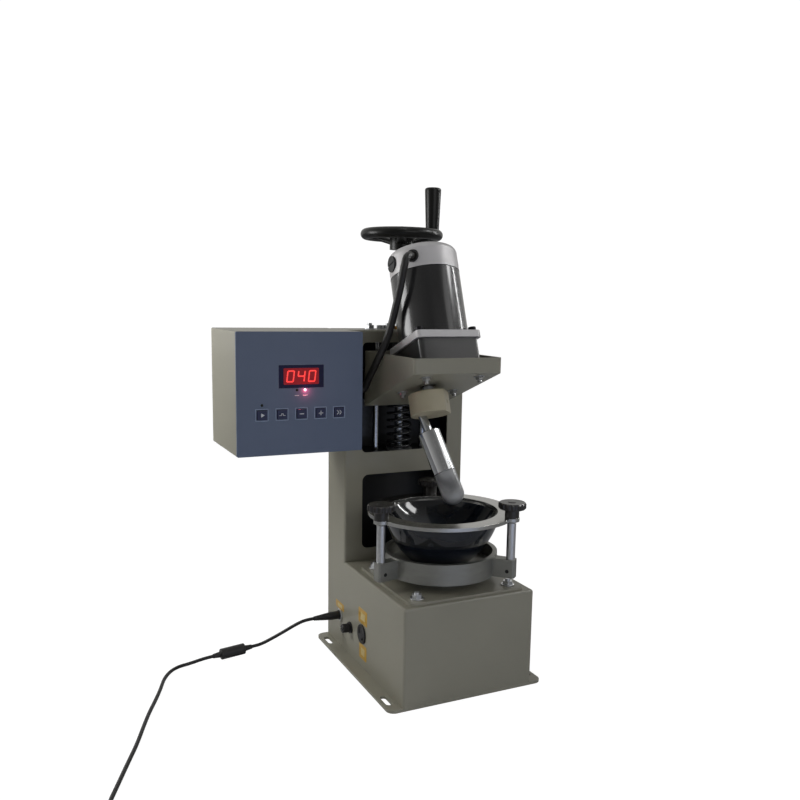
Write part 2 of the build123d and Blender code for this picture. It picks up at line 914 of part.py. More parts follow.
def grip_place():
    """The axis of the revolving grip."""
    return on_circle(rim_outer_r - rim_tube_r, spoke_turn, (0, screw_y))


def make_grip_spindle():
    post = upright(grip_post_r, rim_z - rim_tube_r, grip_high - grip_wall_top - 1, grip_place())
    return post + upright(grip_seat_r, grip_seat_z, grip_seat_z + grip_washer_thick, grip_place())


def make_handle_grip():
    """Tapered grip that widens upward, closed at its top."""
    x, y = grip_place()
    grip = Pos(x, y, (grip_low + grip_high) / 2) * Cone(grip_low_r, grip_high_r, grip_high - grip_low)
    grip = fillet(grip.edges().group_by(Axis.Z)[-1], grip_edge)
    return grip - upright(grip_post_r + running_gap, grip_low, grip_high - grip_wall_top, (x, y))


def make_mortar_plate():
    plate = rounded_plate(
        mortar_plate_side, mortar_plate_side, mortar_plate_r, box_top, plate_top, mortar_centre
    )
    plate -= upright(spindle_bearing_r, box_top, plate_top, mortar_centre)
    for place in corners(mortar_bolt, mortar_bolt, mortar_centre):
        plate -= upright(m6_r + drill_gap, box_top, plate_top, place)
    return plate


def make_mortar_plate_nuts():
    """Nuts on studs that also have their inner nut under the sheet."""
    pieces = []
    inside = box_top - sheet
    for place in corners(mortar_bolt, mortar_bolt, mortar_centre):
        stud = upright(m6_r, inside - m6_high - m6_end, plate_top + m6_high + m6_end, place)
        stud += hexagon_bar(m6_flats, plate_top, plate_top + m6_high, place)
        pieces.append(stud + hexagon_bar(m6_flats, inside - m6_high, inside, place))
    return together(pieces)


def make_spindle_bearing():
    flange_top_z = plate_top + spindle_flange_thick
    body = upright(spindle_bearing_r, spindle_bearing_low, plate_top, mortar_centre)
    body += upright(spindle_flange_r, plate_top, flange_top_z, mortar_centre)
    bore = upright(mortar_shaft_r + running_gap, spindle_bearing_low, flange_top_z, mortar_centre)
    return body - bore


def make_mortar_motor():
    body = upright(mortar_motor_r, mortar_motor_low, spindle_bearing_low, mortar_centre)
    body = fillet(body.edges().group_by(Axis.Z)[0], bend_r)
    bore_r = mortar_shaft_r + shaft_in_motor_gap
    bore_low = mortar_shaft_low - shaft_in_motor_gap
    return body - upright(bore_r, bore_low, spindle_bearing_low, mortar_centre)


def make_mortar_shaft():
    return upright(mortar_shaft_r, mortar_shaft_low, holder_low + holder_floor, mortar_centre)


def make_mortar_holder():
    """Turntable: hub, floor, ring wall and one ear for each post."""
    top = holder_low + holder_floor
    holder = upright(holder_outer_r, holder_low, holder_high)
    ears = []
    for angle in post_angles:
        ear = block(holder_inner_r - 1, ear_reach, -ear_width / 2, ear_width / 2, ear_low, ear_high)
        ear = chamfer(ear.edges().filter_by(Axis.Z).group_by(Axis.X)[-1], 2)
        ears.append(Rot(0, 0, angle) * ear)
    holder = together([holder] + ears)
    holder -= upright(holder_inner_r, top, holder_high)
    holder += upright(holder_hub_r, holder_hub_low, holder_low)
    holder -= upright(mortar_shaft_r, holder_hub_low, top)
    for angle in post_angles:
        holder -= upright(post_r, post_low, ear_high, on_circle(post_circle_r, angle))
    return Pos(0, mortar_y, 0) * holder


def make_clamp_posts():
    pieces = []
    for angle in post_angles:
        place = on_circle(post_circle_r, angle, mortar_centre)
        post = chamfer(upright(post_r, post_low, post_high, place).edges().group_by(Axis.Z)[-1], 0.6)
        pieces.append(post + upright(stud_r, post_high - 1, stud_high, place))
    return together(pieces)


def make_clamp_ring():
    """Flat ring with a lobe at each post, its opening edge broken."""
    top = clamp_low + clamp_thick
    ring = upright(clamp_outer_r, clamp_low, top)
    for angle in post_angles:
        ring += upright(clamp_lobe_r, clamp_low, top, on_circle(post_circle_r, angle))
    ring -= upright(clamp_opening_r, clamp_low, top)
    for angle in post_angles:
        ring -= upright(stud_r + free_gap, clamp_low, top, on_circle(post_circle_r, angle))
    return Pos(0, mortar_y, 0) * ring


def make_mortar_bowl():
    """Thick stone bowl, round outside down to its foot and hollowed by a ball."""
    floor = holder_low + holder_floor
    foot = (bowl_foot_r, 0, floor)
    belly = (bowl_belly_r, 0, floor + bowl_belly_high)
    edge = (bowl_rim_r, 0, clamp_low - bowl_edge_high)
    outline = [
        Polyline((0, 0, clamp_low), (0, 0, floor), foot),
        ThreePointArc(foot, belly, edge),
        Polyline(edge, (bowl_rim_r, 0, clamp_low), (0, 0, clamp_low)),
    ]
    stone = revolve(make_face(outline), Axis.Z)
    ball_r = (bowl_mouth_r**2 + bowl_deep**2) / (2 * bowl_deep)
    return Pos(0, mortar_y, 0) * stone - Pos(0, mortar_y, clamp_low - bowl_deep + ball_r) * Sphere(ball_r)


def make_clamp_knob(angle):
    """Fluted knob on a round stem, with a blind hole for the stud."""
    centre = on_circle(post_circle_r, angle, mortar_centre)
    head = upright(knob_r, knob_low, knob_high)
    head = chamfer(head.edges(), knob_edge)
    for i in range(knob_flutes):
        place = on_circle(knob_r + knob_flute_r / 2, 360 / knob_flutes * i)
        head -= upright(knob_flute_r, knob_low, knob_high, place)
    stem_low = clamp_low + clamp_thick + free_gap
    head += upright(knob_stem_r, stem_low, knob_low)
    head -= upright(stud_r + running_gap, stem_low, stud_high + 1)
    return Pos(centre[0], centre[1], 0) * head


def make_control_box():
    """Five sided sheet box, open to the panel, with a gland for the motor cable."""
    case = block(control_left, control_right, control_front_y, control_back_y, control_low, control_top)
    case = fillet(case.edges().filter_by(Axis.Y), control_sheet)
    t = control_sheet
    case -= block(
        control_left + t,
        control_right - t,
        control_front_y,
        control_back_y - t,
        control_low + t,
        control_top - t,
    )
    return case + along_x(gland_r, control_right - t, control_right + gland_long, gland_y, gland_z)


def make_control_panel():
    plate = front_window(
        control_left,
        control_right,
        control_low,
        control_top,
        control_sheet,
        panel_front_y,
        control_front_y,
    )
    plate -= block(*display_x, panel_front_y, control_front_y, *display_z)
    for x in button_x:
        plate -= button_block(x, free_gap, panel_front_y, control_front_y)
    for x, z in lamp_places:
        plate -= along_y(lamp_r, panel_front_y, control_front_y, x, z)
    return plate


def button_block(x, grow, y0, y1):
    """The outline of a button, grown all round, between two depths."""
    half_x = button_wide / 2 + grow
    half_z = button_high / 2 + grow
    return block(x - half_x, x + half_x, y0, y1, button_z - half_z, button_z + half_z)


def make_display_window():
    low = panel_front_y + display_recess
    return block(*display_x, low, panel_front_y + display_recess + display_deep, *display_z)


def make_circuit_board():
    """Board with spacers, display module, lamps and a key switch behind each button."""
    m = board_margin
    x0 = control_left + m
    x1 = control_right - m
    z0 = control_low + m
    z1 = control_top - m
    board = block(x0, x1, board_y, board_y + board_thick, z0, z1)
    for x in (x0 + spacer_margin, x1 - spacer_margin):
        for z in (z0 + spacer_margin, z1 - spacer_margin):
            board += along_y(spacer_r, control_front_y, board_y, x, z)
    module_low = panel_front_y + display_recess + display_deep
    board += block(*display_x, module_low, board_y, *display_z)
    for x, z in lamp_places:
        board += along_y(lamp_r, panel_front_y, board_y, x, z)
    half = switch_side / 2
    low = switch_front()
    for x in button_x:
        board += block(x - half, x + half, low, board_y, button_z - half, button_z + half)
    return board


def switch_front():
    """How far forward the key switches stand."""
    return board_y - switch_side / 2


def make_button(x):
    """Key cap with a flange behind the panel and a stem to its switch."""
    back = control_front_y + drill_gap
    cap = button_block(x, 0, panel_front_y - button_proud, back)
    cap = chamfer(cap.edges().group_by(Axis.Y)[0], 0.4)
    cap += button_block(x, 1, back, back + button_flange)
    end = switch_front() - button_travel - drill_gap
    return cap + along_y(button_stem_r, back, end, x, button_z)


def make_dc_jack():
    face = -wall_x - jack_ring_proud
    jack = along_x(jack_ring_r, face, -wall_x, jack_y, jack_z)
    jack += along_x(jack_body_r, -wall_x, -wall_x + jack_body_long, jack_y, jack_z)
    return jack - along_x(plug_pin_r + running_gap, face, face + plug_pin_long + 1, jack_y, jack_z)


def make_power_plug():
    """Barrel in the jack and a moulded body that narrows to the lead."""
    face = -wall_x - jack_ring_proud
    plug = along_x(plug_pin_r, face, face + plug_pin_long, jack_y, jack_z)
    plug += along_x(plug_wide_r, face - plug_collar_long, face, jack_y, jack_z)
    taper = plug_long - plug_collar_long
    body = Cone(plug_narrow_r, plug_wide_r, taper)
    return plug + Pos(face - plug_collar_long - taper / 2, jack_y, jack_z) * Rot(0, 90, 0) * body


def make_fuse_holder():
    face = -wall_x - bezel_proud
    holder = along_x(fuse_bezel_r, face, -wall_x, fuse_y, fuse_z)
    holder += along_x(fuse_body_r, -wall_x, -wall_x + fuse_body_long, fuse_y, fuse_z)
    return holder - along_x(fuse_stem_r + free_gap, face, face + fuse_stem_long + 2, fuse_y, fuse_z)


def make_fuse_cap():
    face = -wall_x - bezel_proud - free_gap
    cap = along_x(fuse_cap_r, face - fuse_cap_long, face, fuse_y, fuse_z)
    cap = chamfer(cap.edges().group_by(Axis.X)[0], 0.6)
    cap += along_x(fuse_stem_r, face, face + fuse_stem_long, fuse_y, fuse_z)
    slot = block(
        face - fuse_cap_long,
        face - fuse_cap_long + fuse_slot_deep,
        fuse_y - fuse_cap_r,
        fuse_y + fuse_cap_r,
        fuse_z - fuse_slot_wide / 2,
        fuse_z + fuse_slot_wide / 2,
    )
    return cap - slot


def rocker_bar(radius, wide):
    """A round bar about the rocker's pivot."""
    x = -wall_x + rocker_axis_in
    return along_y(radius, rocker_y - wide / 2, rocker_y + wide / 2, x, rocker_z)


def make_rocker_bezel():
    face = -wall_x - bezel_proud
    bezel = along_x(rocker_bezel_r, face, -wall_x, rocker_y, rocker_z)
    bezel = fillet(bezel.edges().group_by(Axis.X)[0], 1)
    bezel += along_x(rocker_body_r, -wall_x, -wall_x + rocker_body_long, rocker_y, rocker_z)
    return bezel - rocker_bar(rocker_r + free_gap, rocker_wide + 2 * free_gap)


def make_rocker():
    """Paddle with a shallow hollow face, leaning to one side."""
    x = -wall_x + rocker_axis_in
    end_out = rocker_r * 0.62
    end_up = sqrt(rocker_r**2 - end_out**2)
    face = [
        (x - end_out, -end_up),
        (x - end_out + 1.3, 0),
        (x - end_out, end_up),
        (x - rocker_r - 1, end_up + 2),
        (x - rocker_r - 1, -end_up - 2),
    ]
    outline = make_face(Polyline(*[(px, rocker_y, rocker_z + pz) for px, pz in face], close=True))
    cut = extrude(outline, rocker_wide, dir=(0, 1, 0), both=True)
    pivot = Axis((x, rocker_y, rocker_z), (0, 1, 0))
    return (rocker_bar(rocker_r, rocker_wide) - cut).rotate(pivot, rocker_lean)


def make_motor_cable():
    """From the floor of the cap's cable hole, down outside the tray, to the gland."""
    x, y = on_circle(motor_r - cable_hole_deep, cable_hole_turn)
    start = drive_plane.from_local_coords(Vector(x, y, cable_hole_height))
    x, y = on_circle(motor_r - cable_hole_deep + cable_out, cable_hole_turn)
    out = drive_plane.from_local_coords(Vector(x, y, cable_hole_height))
    upper = [(x, drive_y + back, tray_lip_low + high) for x, back, high in cable_upper]
    lower = [(x, gland_y + back, gland_z + high) for x, back, high in cable_lower]
    end = (control_right + gland_long, gland_y, gland_z)
    return route_tube("motor_cable", [tuple(start), tuple(out)] + upper + lower + [end], cable_r)


def beside_jack(points):
    """Points of the lead, given as how far left of the wall, how far behind the jack and how high."""
    return [(-wall_x - out, jack_y + back, high) for out, back, high in points]


def make_power_cord():
    start = (-wall_x - jack_ring_proud - plug_long, jack_y, jack_z)
    return route_tube("power_cord", [start] + beside_jack(lead_near + [choke_near]), lead_r)


def make_ferrite_choke():
    """Round choke body with a tapered boot at each end."""
    near, far = beside_jack([choke_near, choke_far])
    axis = Vector(*far) - Vector(*near)
    plane = Plane(origin=near, z_dir=axis)
    boot = (axis.length - choke_body_long) / 2
    body = upright(choke_r, boot, boot + choke_body_long)
    body = fillet(body.edges(), 1.5)
    for low, high, narrow, wide in (
        (0, boot, lead_r + 0.6, lead_r + 1.6),
        (boot + choke_body_long, axis.length, lead_r + 1.6, lead_r + 0.6),
    ):
        body += Pos(0, 0, (low + high) / 2) * Cone(narrow, wide, high - low)
    return plane * body


def make_cord_tail():
    """Along the floor, then straight into the coil's first turn."""
    heading = winding_heading(coil_place, 0, coil_turns, -1)
    start = coil_centre() + winding_point(coil_place, 0, -1)
    end = start - heading * 2 * lead_r
    last = end - heading * coil_run_in
    points = beside_jack([choke_far] + lead_far)
    return route_tube("cord_tail", points + [tuple(last), tuple(end)], lead_r)


def coil_centre():
    """Where the coil's axis meets the ground."""
    return Vector(*beside_jack([coil_middle])[0])


def coil_place(turn):
    """The coil spirals in on the lower layer and out on the upper, then rises to the adapter."""
    middle = coil_turns / 2
    ring_r = coil_outer_r - coil_step * (middle - abs(turn - middle))
    climbed = min(max((turn - middle) * 2 + 0.5, 0), 1)
    height = lead_rest + coil_layer * climbed
    lift = adapter_high / 2 - lead_rest - coil_layer
    rise = min(max((turn - coil_turns + 0.5) * 2, 0), 1)
    return ring_r, height + lift * rise * rise * (3 - 2 * rise)


def make_cord_coil():
    coil = wound_tube("cord_coil", coil_place, coil_turns, lead_r, -1, 2 * lead_r)
    return Location(coil_centre()) * coil


def make_power_adapter():
    """Desktop adapter: rounded case, boot for the lead, inlet at the far end."""
    centre = coil_centre()
    boot_x = centre.X - 2 * lead_r
    y = centre.Y - coil_outer_r
    middle = adapter_high / 2
    right = boot_x - adapter_boot_long
    left = right - adapter_long
    case = block(left, right, y - adapter_wide / 2, y + adapter_wide / 2, 0, adapter_high)
    case = fillet(case.edges().filter_by(Axis.X) + case.edges().filter_by(Axis.Z), adapter_edge_r)
    half_y = adapter_inlet_wide / 2
    half_z = adapter_inlet_high / 2
    case -= block(
        left, left + adapter_inlet_deep, y - half_y, y + half_y, middle - half_z, middle + half_z
    )
    boot = Cone(lead_r + 0.8, adapter_boot_r, adapter_boot_long)
    return case + Pos((boot_x + right) / 2, y, middle) * Rot(0, -90, 0) * boot


nodes = {
    "base_plate": make_base_plate(),
    "housing": make_housing(),
    "rear_cover": make_rear_cover(),
    "lift_plates": make_lift_plates(),
    "guide_rods": make_guide_rods(),
    "top_fasteners": make_top_fasteners(),
    "screw_bearing": make_screw_bearing(),
    "spring_washer": make_spring_washer(),
    "pressure_spring": make_pressure_spring(),
    "slide_block": make_slide_block(),
    "screw_nut": make_screw_nut(),
    "motor_tray": make_motor_tray(),
    "gearbox": make_gearbox(),
    "gearbox_flange": make_gearbox_flange(),
    "gearbox_bolts": make_gearbox_bolts(),
    "motor_body": make_motor_body(),
    "motor_end_cap": make_motor_end_cap(),
    "brush_caps": make_brush_caps(),
    "output_shaft": make_output_shaft(),
    "eccentric_head": make_eccentric_head(),
    "pestle_rod": make_pestle_rod(),
    "pestle_sleeve": make_pestle_sleeve(),
    "pestle": make_pestle(),
    "lead_screw": make_lead_screw(),
    "handwheel": make_handwheel(),
    "grip_spindle": make_grip_spindle(),
    "handle_grip": make_handle_grip(),
    "mortar_plate": make_mortar_plate(),
    "mortar_plate_nuts": make_mortar_plate_nuts(),
    "spindle_bearing": make_spindle_bearing(),
    "mortar_motor": make_mortar_motor(),
    "mortar_shaft": make_mortar_shaft(),
    "mortar_holder": make_mortar_holder(),
    "clamp_posts": make_clamp_posts(),
    "clamp_ring": make_clamp_ring(),
    "mortar_bowl": make_mortar_bowl(),
    "control_box": make_control_box(),
    "control_panel": make_control_panel(),
    "display_window": make_display_window(),
    "circuit_board": make_circuit_board(),
    "dc_jack": make_dc_jack(),
    "fuse_holder": make_fuse_holder(),
    "fuse_cap": make_fuse_cap(),
    "rocker_bezel": make_rocker_bezel(),
    "rocker": make_rocker(),
    "motor_cable": make_motor_cable(),
    "power_plug": make_power_plug(),
    "power_cord": make_power_cord(),
    "ferrite_choke": make_ferrite_choke(),
    "cord_tail": make_cord_tail(),
    "cord_coil": make_cord_coil(),
    "power_adapter": make_power_adapter(),
}
for knob_name, knob_angle in zip(("right", "rear", "left"), post_angles):
    nodes[f"clamp_knob_{knob_name}"] = make_clamp_knob(knob_angle)
for number, centre_x in enumerate(button_x, 1):
    nodes[f"button_{number}"] = make_button(centre_x)

for node_name, shape in nodes.items():
    export_step(shape, f"parts/{node_name}.step")
print(len(nodes), "nodes")
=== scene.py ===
"""Looks of the laboratory pestle mill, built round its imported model. Metres, the model's own frame:
X to the right across the front, Y to the back, Z up, origin under the middle of the base plate.
"""

from math import cos, pi, radians, sin

import bmesh
import bpy
from mathutils import Matrix, Vector


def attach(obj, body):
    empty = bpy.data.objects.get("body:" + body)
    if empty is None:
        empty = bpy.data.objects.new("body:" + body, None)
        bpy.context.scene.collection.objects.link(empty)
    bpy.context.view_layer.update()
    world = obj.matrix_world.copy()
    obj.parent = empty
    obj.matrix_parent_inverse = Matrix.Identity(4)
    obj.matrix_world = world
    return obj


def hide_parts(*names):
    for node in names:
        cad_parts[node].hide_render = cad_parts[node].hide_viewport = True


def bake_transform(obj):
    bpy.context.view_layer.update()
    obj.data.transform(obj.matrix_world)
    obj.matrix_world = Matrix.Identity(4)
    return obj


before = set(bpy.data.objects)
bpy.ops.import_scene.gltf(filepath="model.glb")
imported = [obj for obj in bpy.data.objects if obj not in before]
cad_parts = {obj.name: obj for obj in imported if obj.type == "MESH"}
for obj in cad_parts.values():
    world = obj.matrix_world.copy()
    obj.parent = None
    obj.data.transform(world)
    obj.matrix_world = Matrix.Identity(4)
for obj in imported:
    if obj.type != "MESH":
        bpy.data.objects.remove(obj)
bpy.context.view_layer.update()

# Camera and light
# A long lens to the left of the mill, a little above it, tipped down and turned a trifle, as the
# photograph was taken. The lens and shift place the mill low and left of the picture's middle.
camera_data = bpy.data.cameras.new("camera")
camera_data.sensor_width = 36
camera_data.lens = 37.977
camera_data.shift_x = -0.03141
camera_data.shift_y = 0.03508
camera = bpy.data.objects.new("camera", camera_data)
turn = Matrix.Rotation(radians(-26.511), 4, "Z")
tip = Matrix.Rotation(radians(90 - 8.579), 4, "X")
roll = Matrix.Rotation(radians(1.114), 4, "Z")
camera.matrix_world = Matrix.Translation((-0.43888, -0.87472, 0.43146)) @ turn @ tip @ roll
bpy.context.scene.collection.objects.link(camera)
bpy.context.scene.camera = camera
bpy.context.scene.view_settings.view_transform = "Standard"


def soft_light(name, place, aim, wide, high, power, tint=(1, 1, 1), lights_matt_faces=True):
    """A studio panel that faces a point. Some only draw highlights on polished faces."""
    data = bpy.data.lights.new(name, "AREA")
    data.shape = "RECTANGLE"
    data.size = wide
    data.size_y = high
    data.energy = power
    data.color = tint
    light = bpy.data.objects.new(name, data)
    light.location = place
    light.rotation_euler = (Vector(aim) - Vector(place)).to_track_quat("-Z", "Y").to_euler()
    light.visible_diffuse = lights_matt_faces
    bpy.context.scene.collection.objects.link(light)


mill_middle = (0, 0, 0.25)
motor_middle = (0, -0.03, 0.43)
mortar_middle = (0, 0, 0.19)
soft_light("left_panel", (-0.56, 0.26, 0.47), (-0.2, 0.05, 0.33), 0.28, 0.28, 1.45)
soft_light("front_panel", (0.1, -1.7, 0.9), mill_middle, 1.2, 0.9, 3.5)
soft_light("top_panel", (-0.2, 0.1, 1.7), mill_middle, 1.2, 1.2, 1.1)
soft_light("right_panel", (0.85, -1.02, 1.15), motor_middle, 0.45, 0.4, 0.7)
soft_light("low_panel", (0.0, -1.0, 0.05), (0, -0.1, 0.06), 0.9, 0.2, 0.42, tint=(0.7, 0.85, 1.3))
soft_light("right_strip", (1.25, -0.02, 0.86), motor_middle, 0.05, 0.75, 3.4, lights_matt_faces=False)
soft_light("window", (0.86, -0.36, 1.12), mortar_middle, 0.26, 0.36, 3.2, lights_matt_faces=False)
soft_light("ceiling_lamp", (-0.17, -0.55, 1.5), mortar_middle, 0.16, 0.05, 0.9, lights_matt_faces=False)

# The background is white only where the camera sees it. The mill itself stands in a dim grey room,
# and its polished faces see a dark room in front and the pale sweep behind.
world = bpy.data.worlds.new("studio")
bpy.context.scene.world = world
world.use_nodes = True
room = world.node_tree.nodes["Background"]
room.inputs["Color"].default_value = (0.86, 0.87, 0.9, 1)
room.inputs["Strength"].default_value = 0.15
mirrored = world.node_tree.nodes.new("ShaderNodeBackground")
mirrored.inputs["Color"].default_value = (1, 0.99, 0.96, 1)
way = world.node_tree.nodes.new("ShaderNodeTexCoord")
way_parts = world.node_tree.nodes.new("ShaderNodeSeparateXYZ")
world.node_tree.links.new(way.outputs["Generated"], way_parts.inputs["Vector"])
paleness = world.node_tree.nodes.new("ShaderNodeMapRange")
paleness.inputs["From Min"].default_value = -0.75
paleness.inputs["From Max"].default_value = 0.45
paleness.inputs["To Min"].default_value = 0.15
paleness.inputs["To Max"].default_value = 0.55
world.node_tree.links.new(way_parts.outputs["Y"], paleness.inputs["Value"])
world.node_tree.links.new(paleness.outputs["Result"], mirrored.inputs["Strength"])
white = world.node_tree.nodes.new("ShaderNodeBackground")
white.inputs["Color"].default_value = (1, 1, 1, 1)
white.inputs["Strength"].default_value = 1.05
sees = world.node_tree.nodes.new("ShaderNodeLightPath")
polished = world.node_tree.nodes.new("ShaderNodeMixShader")
world.node_tree.links.new(sees.outputs["Is Glossy Ray"], polished.inputs["Fac"])
world.node_tree.links.new(room.outputs["Background"], polished.inputs[1])
world.node_tree.links.new(mirrored.outputs["Background"], polished.inputs[2])
either = world.node_tree.nodes.new("ShaderNodeMixShader")
world.node_tree.links.new(sees.outputs["Is Camera Ray"], either.inputs["Fac"])
world.node_tree.links.new(polished.outputs["Shader"], either.inputs[1])
world.node_tree.links.new(white.outputs["Background"], either.inputs[2])
world.node_tree.links.new(either.outputs["Shader"], world.node_tree.nodes["World Output"].inputs["Surface"])

# Floor
# A white sweep under the mill: it glows nearly white to the camera, so only a faint shadow shows.
floor_mesh = bpy.data.meshes.new("floor")
floor_mesh.from_pydata([(-6, -6, 0), (6, -6, 0), (6, 6, 0), (-6, 6, 0)], [], [(0, 1, 2, 3)])
floor = bpy.data.objects.new("floor", floor_mesh)
floor.location.z = -0.0004
bpy.context.scene.collection.objects.link(floor)
floor_paper = bpy.data.materials.new("floor_paper")
floor_paper.use_nodes = True
nodes = floor_paper.node_tree.nodes
links = floor_paper.node_tree.links
paper = nodes["Principled BSDF"]
paper.inputs["Roughness"].default_value = 0.9
paper.inputs["Specular IOR Level"].default_value = 0.1
fibre = nodes.new("ShaderNodeTexNoise")
fibre.inputs["Scale"].default_value = 60
tone = nodes.new("ShaderNodeMapRange")
tone.inputs["To Min"].default_value = 0.9
tone.inputs["To Max"].default_value = 0.94
links.new(fibre.outputs["Fac"], tone.inputs["Value"])
links.new(tone.outputs["Result"], paper.inputs["Base Color"])
glow = nodes.new("ShaderNodeEmission")
glow.inputs["Strength"].default_value = 1.23
seen = nodes.new("ShaderNodeLightPath")
share = nodes.new("ShaderNodeMath")
share.operation = "MULTIPLY"
share.inputs[1].default_value = 0.8
links.new(seen.outputs["Is Camera Ray"], share.inputs[0])
both = nodes.new("ShaderNodeMixShader")
links.new(share.outputs["Value"], both.inputs["Fac"])
links.new(paper.outputs["BSDF"], both.inputs[1])
links.new(glow.outputs["Emission"], both.inputs[2])
links.new(both.outputs["Shader"], nodes["Material Output"].inputs["Surface"])
floor_mesh.materials.append(floor_paper)


# Low voltage lead
# A thin black lead from the mill's jack over a moulded choke to the adapter. Its slack lies beside
# the adapter in a small coil, out of the picture on the left.
def colour(red, green, blue):
    """A colour named by its screen values, as the shader wants it."""
    return tuple(
        (v / 255 / 12.92) if v < 10.3 else ((v / 255 + 0.055) / 1.055) ** 2.4 for v in (red, green, blue)
    )


def surface(name, light, dark, rough, metal=0.0, patch=0.03, grain=0.001, relief=0.0, coat=0.0,
            stretch=(1, 1, 1), rough_drift=0.06, edge=0.0, edge_colour=None, mirror=0.5):
    """A finish whose tone drifts in patches, with a fine relief and, where asked, paler edges: partly wear,
    partly a painted highlight.
    """
    material = bpy.data.materials.new(name)
    material.use_nodes = True
    nodes = material.node_tree.nodes
    links = material.node_tree.links
    shader = nodes["Principled BSDF"]
    shader.inputs["Metallic"].default_value = metal
    shader.inputs["Specular IOR Level"].default_value = mirror
    shader.inputs["Coat Weight"].default_value = coat
    shader.inputs["Coat Roughness"].default_value = 0.08
    place = nodes.new("ShaderNodeTexCoord")
    mapping = nodes.new("ShaderNodeMapping")
    mapping.inputs["Scale"].default_value = stretch
    links.new(place.outputs["Object"], mapping.inputs["Vector"])
    patches = nodes.new("ShaderNodeTexNoise")
    patches.inputs["Scale"].default_value = 1 / patch
    patches.inputs["Detail"].default_value = 6
    links.new(mapping.outputs["Vector"], patches.inputs["Vector"])
    tones = nodes.new("ShaderNodeMix")
    tones.data_type = "RGBA"
    tones.inputs["A"].default_value = (*dark, 1)
    tones.inputs["B"].default_value = (*light, 1)
    links.new(patches.outputs["Fac"], tones.inputs["Factor"])
    shine = nodes.new("ShaderNodeMapRange")
    shine.inputs["To Min"].default_value = max(rough - rough_drift, 0.02)
    shine.inputs["To Max"].default_value = rough + rough_drift
    links.new(patches.outputs["Fac"], shine.inputs["Value"])
    links.new(shine.outputs["Result"], shader.inputs["Roughness"])
    base = tones.outputs["Result"]
    grains = nodes.new("ShaderNodeTexNoise")
    grains.inputs["Scale"].default_value = 1 / grain
    grains.inputs["Detail"].default_value = 3
    links.new(mapping.outputs["Vector"], grains.inputs["Vector"])
    bump = nodes.new("ShaderNodeBump")
    bump.inputs["Distance"].default_value = relief
    links.new(grains.outputs["Fac"], bump.inputs["Height"])
    if edge:
        rounding = nodes.new("ShaderNodeBevel")
        rounding.samples = 4
        rounding.inputs["Radius"].default_value = edge
        links.new(rounding.outputs["Normal"], bump.inputs["Normal"])
        # The edge colour pales the edges: partly wear, partly a painted highlight where a rounded edge
        # catches light.
        if edge_colour:
            flat = nodes.new("ShaderNodeNewGeometry")
            turned = nodes.new("ShaderNodeVectorMath")
            turned.operation = "DOT_PRODUCT"
            links.new(flat.outputs["Normal"], turned.inputs[0])
            links.new(rounding.outputs["Normal"], turned.inputs[1])
            edge_wear_and_sheen = nodes.new("ShaderNodeMapRange")
            edge_wear_and_sheen.inputs["From Min"].default_value = 0.97
            edge_wear_and_sheen.inputs["From Max"].default_value = 0.8
            links.new(turned.outputs["Value"], edge_wear_and_sheen.inputs["Value"])
            patchy = nodes.new("ShaderNodeMath")
            patchy.operation = "MULTIPLY"
            links.new(edge_wear_and_sheen.outputs["Result"], patchy.inputs[0])
            links.new(patches.outputs["Fac"], patchy.inputs[1])
            edge_tone_wear_and_sheen = nodes.new("ShaderNodeMix")
            edge_tone_wear_and_sheen.data_type = "RGBA"
            edge_tone_wear_and_sheen.inputs["B"].default_value = (*edge_colour, 1)
            links.new(patchy.outputs["Value"], edge_tone_wear_and_sheen.inputs["Factor"])
            links.new(base, edge_tone_wear_and_sheen.inputs["A"])
            base = edge_tone_wear_and_sheen.outputs["Result"]
    links.new(base, shader.inputs["Base Color"])
    links.new(bump.outputs["Normal"], shader.inputs["Normal"])
    return material


def dress(node, material):
    """Gives a node of the model its finish."""
    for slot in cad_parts[node].material_slots:
        slot.link = "OBJECT"
        slot.material = material


def smooth_route(name, points):
    """One open smooth spline that runs along a route."""
    curve = bpy.data.curves.new(name, "CURVE")
    curve.dimensions = "3D"
    spline = curve.splines.new("NURBS")
    spline.points.add(len(points) - 1)
    for control, point in zip(spline.points, points):
        control.co = (*point, 1)
    spline.order_u = 3
    spline.use_endpoint_u = True
    spline.resolution_u = 8
    return curve


def fix(piece, body):
    """A piece rides on a body."""
    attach(piece, body)


lead_rubber = surface(
    "lead_rubber", colour(30, 30, 31), colour(17, 17, 18), 0.48, grain=0.0006, relief=0.00003
)
moulded_black = surface(
    "moulded_black", colour(34, 34, 36), colour(20, 20, 21), 0.42, grain=0.0005, relief=0.00006, edge=0.0003
)
lead_r = 0.002
lead_rest = 0.0022
jack_y = 0.072
jack_z = 0.042
lead_route = [
    (-0.1145, jack_y, jack_z),
    (-0.1255, jack_y, jack_z),
    (-0.1375, 0.075, 0.0365),
    (-0.1495, 0.0805, 0.028),
    (-0.162, 0.0875, 0.019),
    (-0.17515, 0.09345, 0.010875),
    (-0.187, 0.0928, 0.0101),
    (-0.2344, 0.0902, 0.007),
    (-0.24625, 0.08955, 0.006225),
    (-0.262, 0.0915, lead_rest),
    (-0.275, 0.0885, lead_rest),
    (-0.286, 0.0795, lead_rest),
    (-0.296, 0.062, lead_rest),
    (-0.3035, 0.038, lead_rest),
    (-0.313, 0.0125, lead_rest),
    (-0.3235, -0.0135, lead_rest),
    (-0.333, -0.041, lead_rest),
    (-0.3435, -0.073, lead_rest),
    (-0.3565, -0.106, lead_rest),
    (-0.369, -0.139, lead_rest),
]
coil_x = -0.4074
coil_y = -0.208
coil_turns = 4.25
coil_outer_r = 0.0264
coil_step = 0.0046
coil_layer = 0.0046
adapter_middle = 0.013
points_per_turn = 16
coil_middle = coil_turns / 2
coil_in_x = coil_x + coil_outer_r
lead_route += [(coil_in_x, coil_y + 0.038, lead_rest), (coil_in_x, coil_y + 0.004, lead_rest)]
